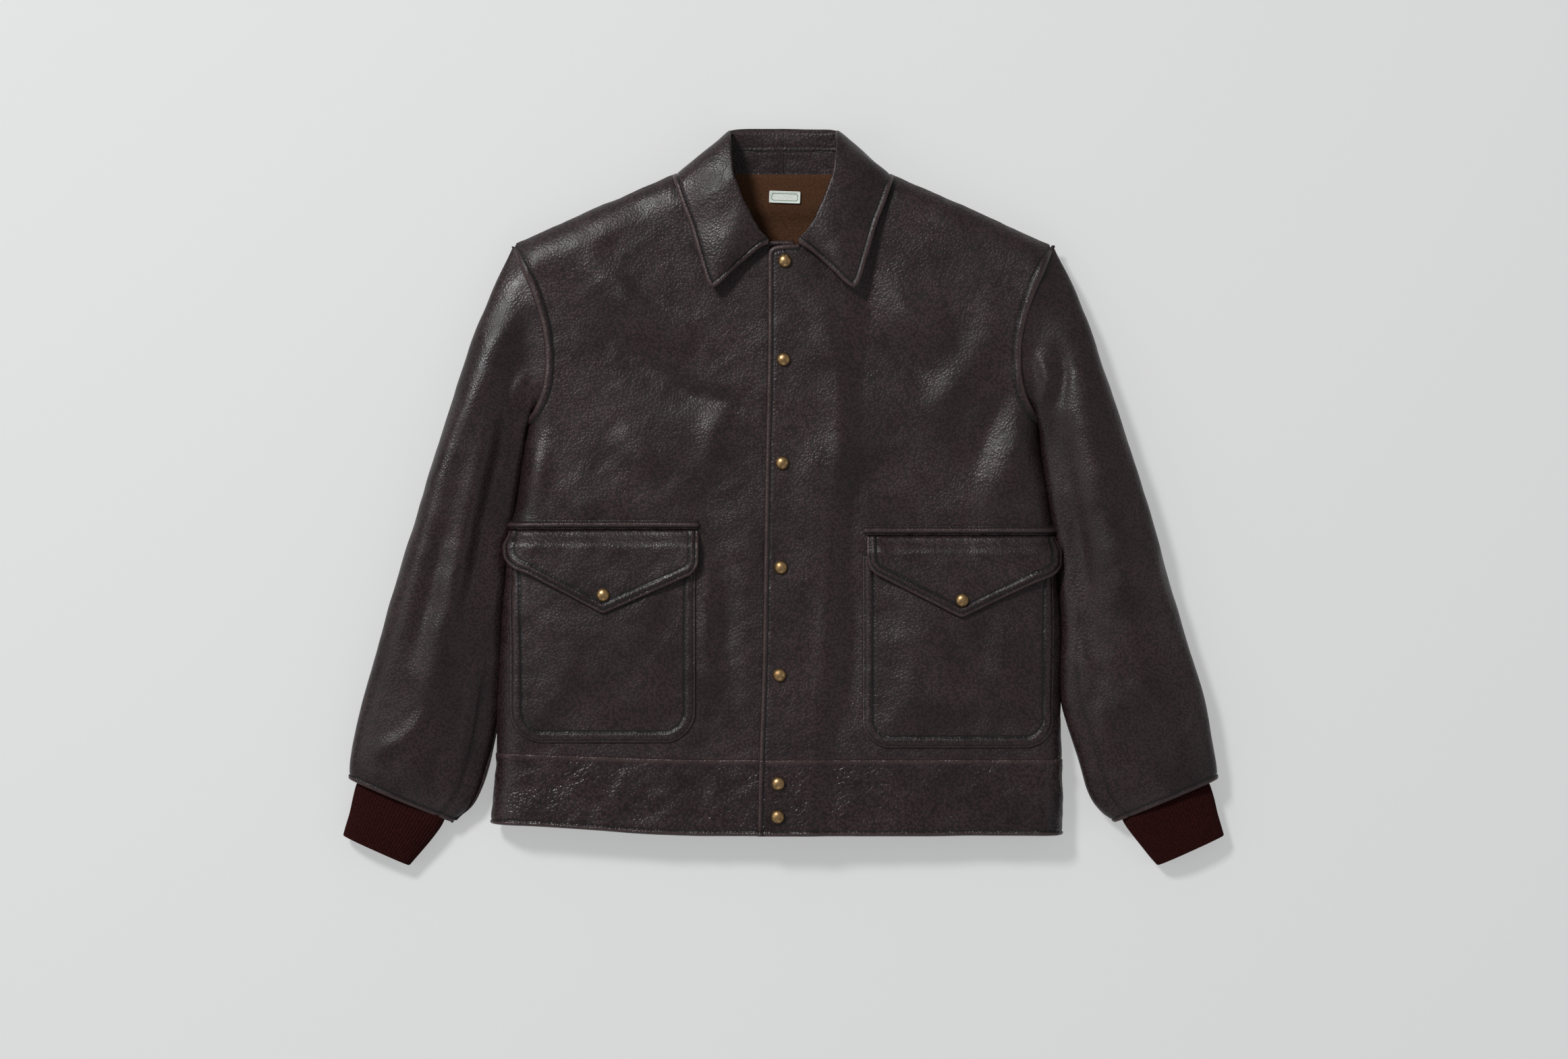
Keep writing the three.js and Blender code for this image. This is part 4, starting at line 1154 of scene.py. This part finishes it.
def collar_grid(rows):
    """The collar's face from the leaf's edge over the roll to the stand's seam, for each of its rows."""
    grid = []
    for seam_point, top, roll, edge in rows:
        belly = (roll + edge) / 2 + np.array([0, 0, 0.035]) * norm(edge - roll)
        peak = (top + roll) / 2 + 0.22 * (top - seam_point) / max(norm(top - seam_point), 1) * 6
        knots = [seam_point, (seam_point + top) / 2, top, peak, roll, belly, edge]
        path = through(knots, np.linspace(0, len(knots) - 1, 90))
        length = measure(path)
        turn = length[52]
        room = max(length[-1] - turn, 0.1)
        near_edge = length[-1] - np.array(LEAF_LINES) * min(1.0, room / 16)
        leaf = np.linspace(turn, near_edge[0], LEAF_COLUMNS - len(near_edge) + 1)[:-1]
        marks = np.r_[np.linspace(0, turn, STAND_COLUMNS + 1)[:-1], leaf, near_edge]
        grid.append(read(marks, length, path))
    return np.array(grid)[:, ::-1]


def collar_rows(side):
    """The rows of COLLAR and those between them, evenly spaced along the leaf's edge."""
    rows = np.array(COLLAR, float)
    if side == 1:
        rows[:, :, 2] += FRONT_LIFT * np.clip(1 - np.arange(len(rows)) / 9, 0, 1)[:, None]
    flat = rows.reshape(len(rows), -1)
    count = np.linspace(0, len(rows) - 1, 600)
    fine = through(flat, count).reshape(-1, 4, 3)
    length = measure(fine[:, 3] + 0.6 * fine[:, 2])
    at = np.interp(np.linspace(0, length[-1], COLLAR_ROWS), length, count)
    return through(flat, at).reshape(-1, 4, 3)


def make_collar(side):
    rows = collar_rows(side)
    grid = collar_grid(rows)
    normals = grid_normals(grid)
    shape = grid.shape[:2]
    flat = grid.reshape(-1, 3)
    edge, seams = rows[:, 3], rows[:, 0] * 0.38 + rows[:, 1] * 0.62
    d = near(flat, edge[::2])[0].reshape(shape)
    e = near(flat, seams[::2])[0].reshape(shape)
    column = np.arange(shape[1])[None, :]
    on_leaf = 1 - ease(LEAF_COLUMNS - 3, LEAF_COLUMNS + 4, column)
    x, y, z = flat.T
    h = (0.7 * noise(side * x + z, y - z, 26, 81) + 0.3 * noise(x, y + z, 11, 82)).reshape(shape)
    wide = np.clip(norm(rows[:, 3] - rows[:, 2], axis=1) / 20, 0, 1)[:, None]
    h = h * wide + bead(d, COLLAR_ROW, 1.0, 0.6, 0.9) * on_leaf * wide
    pair = hump(e - 2.0, 0.7) * 0.7 - hump(e, 1.1) * 0.9
    crumple = (0.3 * noise(x * 0.35 + 3 * z, 1.5 * y, 9, 83)).reshape(shape)
    h = h + (1 - on_leaf) * (crumple - pair) * wide
    grid = grid + normals * h[:, :, None]
    grid[:, :, 2] = np.maximum(grid[:, :, 2], 0.3)
    found = [(COLLAR_ROW, d, on_leaf), (1.7, e, 1 - on_leaf)]
    lines = [collar_stitches(grid, normals, *row, wide) for row in found]
    # Scuffing and a painted highlight on the leaf's edge, painted shade in its stitch groove and the stand's
    # seam.
    wear_and_light_marks = rub_highlight_and_groove_shade(d, [COLLAR_ROW]) * on_leaf - (1 - on_leaf) * hump(e, 1.0)
    name = SIDES[side]
    piece = grid_sheet(f"collar_{name}", side, grid, DOUBLE, 2.0, False, lines, wear_and_light_marks)
    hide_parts(f"collar_leaf_{name}", f"collar_stand_{name}", "collar_leaf_back", "collar_stand_back")
    start, end = (0.081 * side, 0.303, 0.013), (0.079 * side, 0.282, 0.0565)
    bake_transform(piece)
    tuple(start)
    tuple(end)


def collar_stitches(grid, normals, distance, value, keep, wide):
    """A stitch row where value is distance, on the kept part of a collar that is wide enough for it."""
    use = np.where(keep[0] > 0.5)[0]
    line, up = [], []
    for i in np.where(wide[:, 0] >= 0.55)[0]:
        gap = np.abs(value[i, use] - distance)
        j = use[int(np.argmin(gap))]
        if gap.min() < 1.5:
            line.append(grid[i, j])
            up.append(normals[i, j])
    smooth, ends = np.ones(7) / 7, slice(3, -3)
    line = np.column_stack([np.convolve(column, smooth, "same") for column in np.array(line).T])[ends]
    s = measure(line)
    t = np.linspace(0, s[-1], int(s[-1] / STITCH * 4))
    return read(t, s, line), read(t, s, np.array(up)[ends])


# ---- Label ----
def make_label():
    low, high = (np.array(corner) * 1000 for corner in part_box("neck_label"))
    middle = (low + high) / 2
    turn = math.radians(-2)
    matrix = np.array([[math.cos(turn), -math.sin(turn)], [math.sin(turn), math.cos(turn)]])
    half = (14.5, 5.5)
    signs = ((-1, -1), (1, -1), (1, 1), (-1, 1))

    def corners(inset_x, inset_y, radius):
        return [(a * (half[0] - inset_x), b * (half[1] - inset_y), radius) for a, b in signs]

    def place(plan):
        x, y = matrix @ plan.T
        edge = np.minimum(half[0] - np.abs(plan[:, 0]), half[1] - np.abs(plan[:, 1]))
        curl = 0.35 * noise(plan[:, 0], plan[:, 1], 9, 91) + 0.5 * lip(edge, 2)
        return np.column_stack([x + middle[0], y + middle[1], high[2] + 1.6 + curl])

    outline = rounded(corners(0, 0, 0.6), 0.8)
    piece = sheet("blank_label", 1, outline, place, [PAPER, PAPER, THREAD], 0.8, (), (), 0.5)
    ring = rounded(corners(2, 1.9, 2), 0.6)
    ring = np.vstack([ring, ring[:1]])
    inner = ring * (1 - 0.6 / np.abs(ring).max(axis=0))
    grid = np.stack([place(inner), place(ring)], axis=0) + [0, 0, 0.1]
    frame_piece = grid_sheet("label_frame", 1, grid, [GREEN, GREEN], 0.08)
    attach(piece, "shell", "label", "neck_label")
    attach(frame_piece, "shell", "label", "neck_label")


# ---- Sleeves ----
SQUARENESS = 2.5
SLEEVE_FOLDS = {
    1: [
        ([(262, 156), (284, 74), (300, 0), (318, -90), (338, -178)], 20, 2.6),
        ([(250, 96), (262, 30), (276, -60), (292, -150), (304, -210)], 12, -3.4),
        ([(238, 140), (246, 112), (244, 84)], 6, 2.4), ([(252, 150), (262, 120), (258, 84)], 6, -2.0),
        ([(321, -170), (350, -198), (388, -232)], 9, 2.2), ([(316, -192), (340, -222), (368, -262)], 8, -1.8),
        ([(350, 20), (366, -70), (380, -150)], 13, -1.8), ([(330, 60), (348, -10), (362, -60)], 11, 1.6),
        ([(296, -170), (300, -220), (312, -270)], 8, 1.6), ([(384, -170), (376, -210), (360, -246)], 8, 1.3),
    ],
    -1: [
        ([(246, 199), (267, 150), (295, 86), (316, 37), (340, -52), (365, -140), (383, -198)], 13, 3.2),
        ([(238, 180), (244, 130), (258, 60), (276, -20), (292, -110), (302, -190)], 14, -4.0),
        ([(262, 100), (282, 20), (300, -60), (322, -150), (340, -220)], 11, 1.8),
        ([(300, 120), (330, 30), (352, -50)], 9, -1.4), ([(310, -10), (328, -80), (348, -160)], 9, -2.0),
        ([(330, -196), (352, -222), (386, -240)], 8, 1.9), ([(310, -214), (324, -250), (330, -286)], 7, -1.8),
        ([(288, -160), (296, -220), (312, -280)], 7, 1.5), ([(240, 120), (250, 96), (247, 76)], 6, 2.0),
    ],
}


SECTION = np.array([65, 22])  # half the size of the section along which points are evenly spaced
BESIDE = {1: -1.2, -1: -2.0}  # from the body's side seam to the sleeve's near edge
SLEEVE_LEAN = {1: 0.16, -1: 0.24}  # how much lower a sleeve's top is beside the body
SEAM_ACROSS = 0.86  # where the seam on a sleeve's top is, from its outer to its inner edge
SLEEVE_LINES = (0.17, 0.14, 0.11, 0.085, 0.06, 0.04, 0.02, 0.0)  # ring places near its hem


def section_points(count):
    """Points round a sleeve's section, from under its outer edge to the inner one, and back over the top."""
    a = np.linspace(0, 2 * np.pi, 721)
    round_line = np.column_stack([np.cos(a), np.sin(a)])
    squarer = np.sign(round_line) * np.abs(round_line) ** (2 / SQUARENESS)
    even = resample(squarer * SECTION, 0.01 + 2 * SECTION.sum() * 1.75 / 2000)
    s = np.linspace(0, len(even) - 1, count, endpoint=False)
    return (read(s, np.arange(len(even)), even) / SECTION)[::-1]


def tube(rings, at, count):
    """The plan of a tube through rings, and its height over its lowest line. Each ring is its outer
    edge, its inner edge, its height and its lowest z. With them go how far across the tube each
    column is, how far up it is from -1 to 1, and the rings' values."""
    values = through(rings, at)
    shape = section_points(count)
    across, top = (1 - shape[:, 0]) / 2, shape[:, 1]
    outer, inner = values[:, None, 0:2], values[:, None, 2:4]
    plan = outer + (inner - outer) * across[None, :, None]
    return plan, values[:, 4:5] / 2 * (1 + top[None, :]), across, top, values


def sleeve_rings(side):
    def beside(y, least=0):
        return max(float(along(BODY_EDGE[side], y)) + BESIDE[side], least), y
    return [
        (*SHOULDER_TIP, *ARMHOLE[-1], 36, 0), (283, 172, *beside(44), 41, 0),
        (309, 96, *beside(-2), 45, 0), (334, 16, *beside(-60), 47, 0),
        (357, -60, *beside(-120), 47, 0), (380, -138, *beside(-185), 46, 0),
        (398, -203, *beside(-240, 275), 44, 0), (406, -243, *beside(-283, 290), 41, 0),
        (407.5, -264, 312, -304.5, 33, 1),
    ]


def into_armhole(side, plan, z, at, across, top):
    """The sleeve's first rings, drawn in to the armhole and up to the front's height there."""
    arm = curve(ARMHOLE, 2)
    hole = read(across, np.linspace(0, 1, len(arm)), arm) - [OVERLAP, 0]
    crest, _ = FRONT.raised(side, FRONT.flatten(side, hole))
    crest = crest[:, 2] + front_relief(side, hole[:, 0], hole[:, 1]) * 0.7
    over = SEAM_Z + (crest - SEAM_Z - 1.2) * np.maximum(top, 0)
    hole_z = np.where(top > 0, over, SEAM_Z + (SEAM_Z - 1.0) * top)
    w = ease(0, 1.15, at)[:, None]
    plan = plan * w[:, :, None] + hole[None] * (1 - w[:, :, None])
    return np.dstack([plan, z * w + hole_z[None] * (1 - w)])


def sleeve_relief(side, grid, at, across, upper):
    x, y, z = grid.reshape(-1, 3).T
    h = 1.1 * noise(x, y + z, 52, 101 + side) + 0.8 * noise(x + z, y, 25, 103)
    h += 0.35 * noise(x, y - z, 12, 105)
    folds = np.zeros(len(x))
    here = np.column_stack([x, y])
    for points, width, rise in SLEEVE_FOLDS[side]:
        d, s = near(here, curve(points, 8))
        folds += 1.5 * rise * hump(d, width) * arch(s) ** 0.9
    h, folds = h.reshape(upper.shape), folds.reshape(upper.shape)
    place = at[:, None]
    h = (h * 0.75 + folds * upper) * ease(0.0, 0.12, place)
    h += 1.6 * upper * ease(0.02, 0.1, place) * (1 - ease(0.1, 0.6, place))
    return h + 0.8 * noise(across[None, :] * 190, place * 8, 8, 107) * np.exp(-place * 22) * upper


def make_sleeve(side):
    rings = sleeve_rings(side)
    last = len(rings) - 1
    first, middle = np.linspace(0, 0.35, 16)[:-1], np.linspace(0.35, last - 0.2, 150)
    at = np.r_[first, middle, last - np.array(SLEEVE_LINES)]
    plan, rise, across, top, values = tube(rings, at, 136)
    lean = 1 - SLEEVE_LEAN[side] * ease(0.4, 1.0, across)[None, :] * ease(0, 1.5, at)[:, None]
    z = values[:, 5:6] + rise * np.where(top > 0, lean, 1)
    grid = into_armhole(side, plan, z, at, across, top)
    normals = grid_normals(grid, True)
    upper = ease(-0.2, 0.5, np.broadcast_to(top, grid.shape[:2]))
    hem_line = np.vstack([grid[-1], grid[-1, :1]])[::2]
    to_hem = near(grid.reshape(-1, 3), hem_line)[0].reshape(upper.shape)
    h = sleeve_relief(side, grid, at, across, upper) * ease(0, 14, to_hem)
    h += bead(to_hem, SLEEVE_ROW, 0.9, 0.55, 1.0)
    width = norm(values[:, 0:2] - values[:, 2:4], axis=1)[:, None]
    to_seam = np.abs(across - SEAM_ACROSS)[None, :] * width
    seam_part = upper * ease(4.0, 5.0, at)[:, None]
    h -= 1.1 * hump(to_seam, 1.8) * seam_part
    grid = grid + normals * h[:, :, None]
    grid[..., 2] = np.maximum(grid[..., 2], 0.05)
    row = int(np.argmin(np.abs(to_hem.mean(axis=1) - SLEEVE_ROW)))
    line = resample(np.vstack([grid[row], grid[row, :1]]), STITCH / 4)
    lines = [(line, line - grid[row].mean(axis=0))]
    # Scuffing and a painted highlight on the hem's roll, painted shade in its stitch groove and the top seam.
    wear_and_light_marks = rub_highlight_and_groove_shade(to_hem, [SLEEVE_ROW]) - hump(to_seam, 1.2) * seam_part
    name = SIDES[side]
    piece = grid_sheet(f"sleeve_{name}", side, grid, ARM_LEATHER, 1.8, True, lines, wear_and_light_marks)
    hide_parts(f"top_sleeve_{name}", f"under_sleeve_{name}", f"sleeve_lining_{name}")
    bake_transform(piece)


CUFF = [
    (392, -256, 316, -290, 22, 6.5), (400, -267, 319, -303, 23, 5.6), (405, -282, 329, -318, 26, 1.5),
    (408.5, -299, 341, -333, 26, 0.2), (413.8, -317, 352, -345, 24, 0.4),
]
RIBS = 62


def make_cuff(side):
    at = np.linspace(0, len(CUFF) - 1, 46)
    plan, rise, across, _, values = tube(CUFF, at, RIBS * 8)
    grid = np.dstack([plan, values[:, 5:6] + rise])
    normals = grid_normals(grid, True)
    rib = np.arange(len(across)) / len(across) * RIBS * 2 * np.pi
    ribs = 0.75 * np.abs(np.cos(rib / 2)) ** 0.8 - 0.6
    end = np.clip((at - (len(CUFF) - 1.35)) / 0.35, 0, 1)[:, None]
    h = ribs[None, :] * (1 - 0.8 * end ** 4) - 1.2 * np.clip(end - 0.75, 0, 1) ** 2 * 6
    h = h + 0.7 * noise(grid[..., 0], grid[..., 1], 22, 111 + side)
    grid = grid + normals * h[:, :, None]
    grid[..., 2] = np.maximum(grid[..., 2], 0.05)
    name = SIDES[side]
    piece = grid_sheet(f"knit_cuff_{name}", side, grid, [KNIT, KNIT, KNIT], 2.6, True)
    attach(piece, f"{name}_sleeve", "rib_knit", f"rib_cuff_{name}")


# ---- The object, and its stage ----
for which in (1, -1):
    make_front(which)
    make_band(which)
    make_pocket(which)
    make_collar(which)
    make_sleeve(which)
    make_cuff(which)
make_back()
make_back_band()
make_snaps()
make_label()


def make_stage():
    mesh = bpy.data.meshes.new("floor")
    reach, z = 9, -0.0006
    corners = [(-reach, -reach, z), (reach, -reach, z), (reach, reach, z), (-reach, reach, z)]
    mesh.from_pydata(corners, [], [(0, 1, 2, 3)])
    floor = bpy.data.objects.new("floor", mesh)
    paper = Look("floor_paper", "label", roughness=0.9, specular=0.1)
    paper.shader.inputs["Base Color"].default_value = (0.36, 0.36, 0.36, 1)
    paper.shader.inputs["Emission Color"].default_value = (1, 1, 1, 1)
    paper.shader.inputs["Emission Strength"].default_value = 0.37
    mesh.materials.append(paper.material)
    bpy.context.scene.collection.objects.link(floor)
    floor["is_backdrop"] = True

    world = bpy.data.worlds.new("studio")
    world.use_nodes = True
    world.node_tree.nodes["Background"].inputs["Color"].default_value = (0.93, 0.96, 1.0, 1)
    world.node_tree.nodes["Background"].inputs["Strength"].default_value = 0.3
    bpy.context.scene.world = world
    bpy.context.scene.view_settings.view_transform = "Standard"
    lamps = (
        ("key", (-2.0, 2.4, 3.6), 0.8, 165), ("right", (2.6, -0.2, 1.9), 1.6, 4),
        ("low", (0.2, -2.8, 1.9), 1.6, 6), ("left", (-2.6, -0.4, 1.9), 1.6, 8))
    for name, where, size, power in lamps:
        light = bpy.data.lights.new(name, "AREA")
        light.size = size
        light.energy = power
        lamp = bpy.data.objects.new(name, light)
        lamp.location = where
        lamp.rotation_euler = Vector(where).to_track_quat("Z", "Y").to_euler()
        bpy.context.scene.collection.objects.link(lamp)


def make_camera():
    camera = bpy.data.cameras.new("camera")
    camera.lens = 100
    camera.sensor_width = 36
    camera.clip_end = 100
    eye = bpy.data.objects.new("camera", camera)
    eye.location = (0.0006, -0.0296, 4.07 + FRONT_Z * 0.001)
    bpy.context.scene.collection.objects.link(eye)
    bpy.context.scene.camera = eye


make_stage()
make_camera()
boxes = {"cad": cad_box, "visual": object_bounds()}
{name: [[float(v) for v in corner] for corner in box] for name, box in boxes.items()}
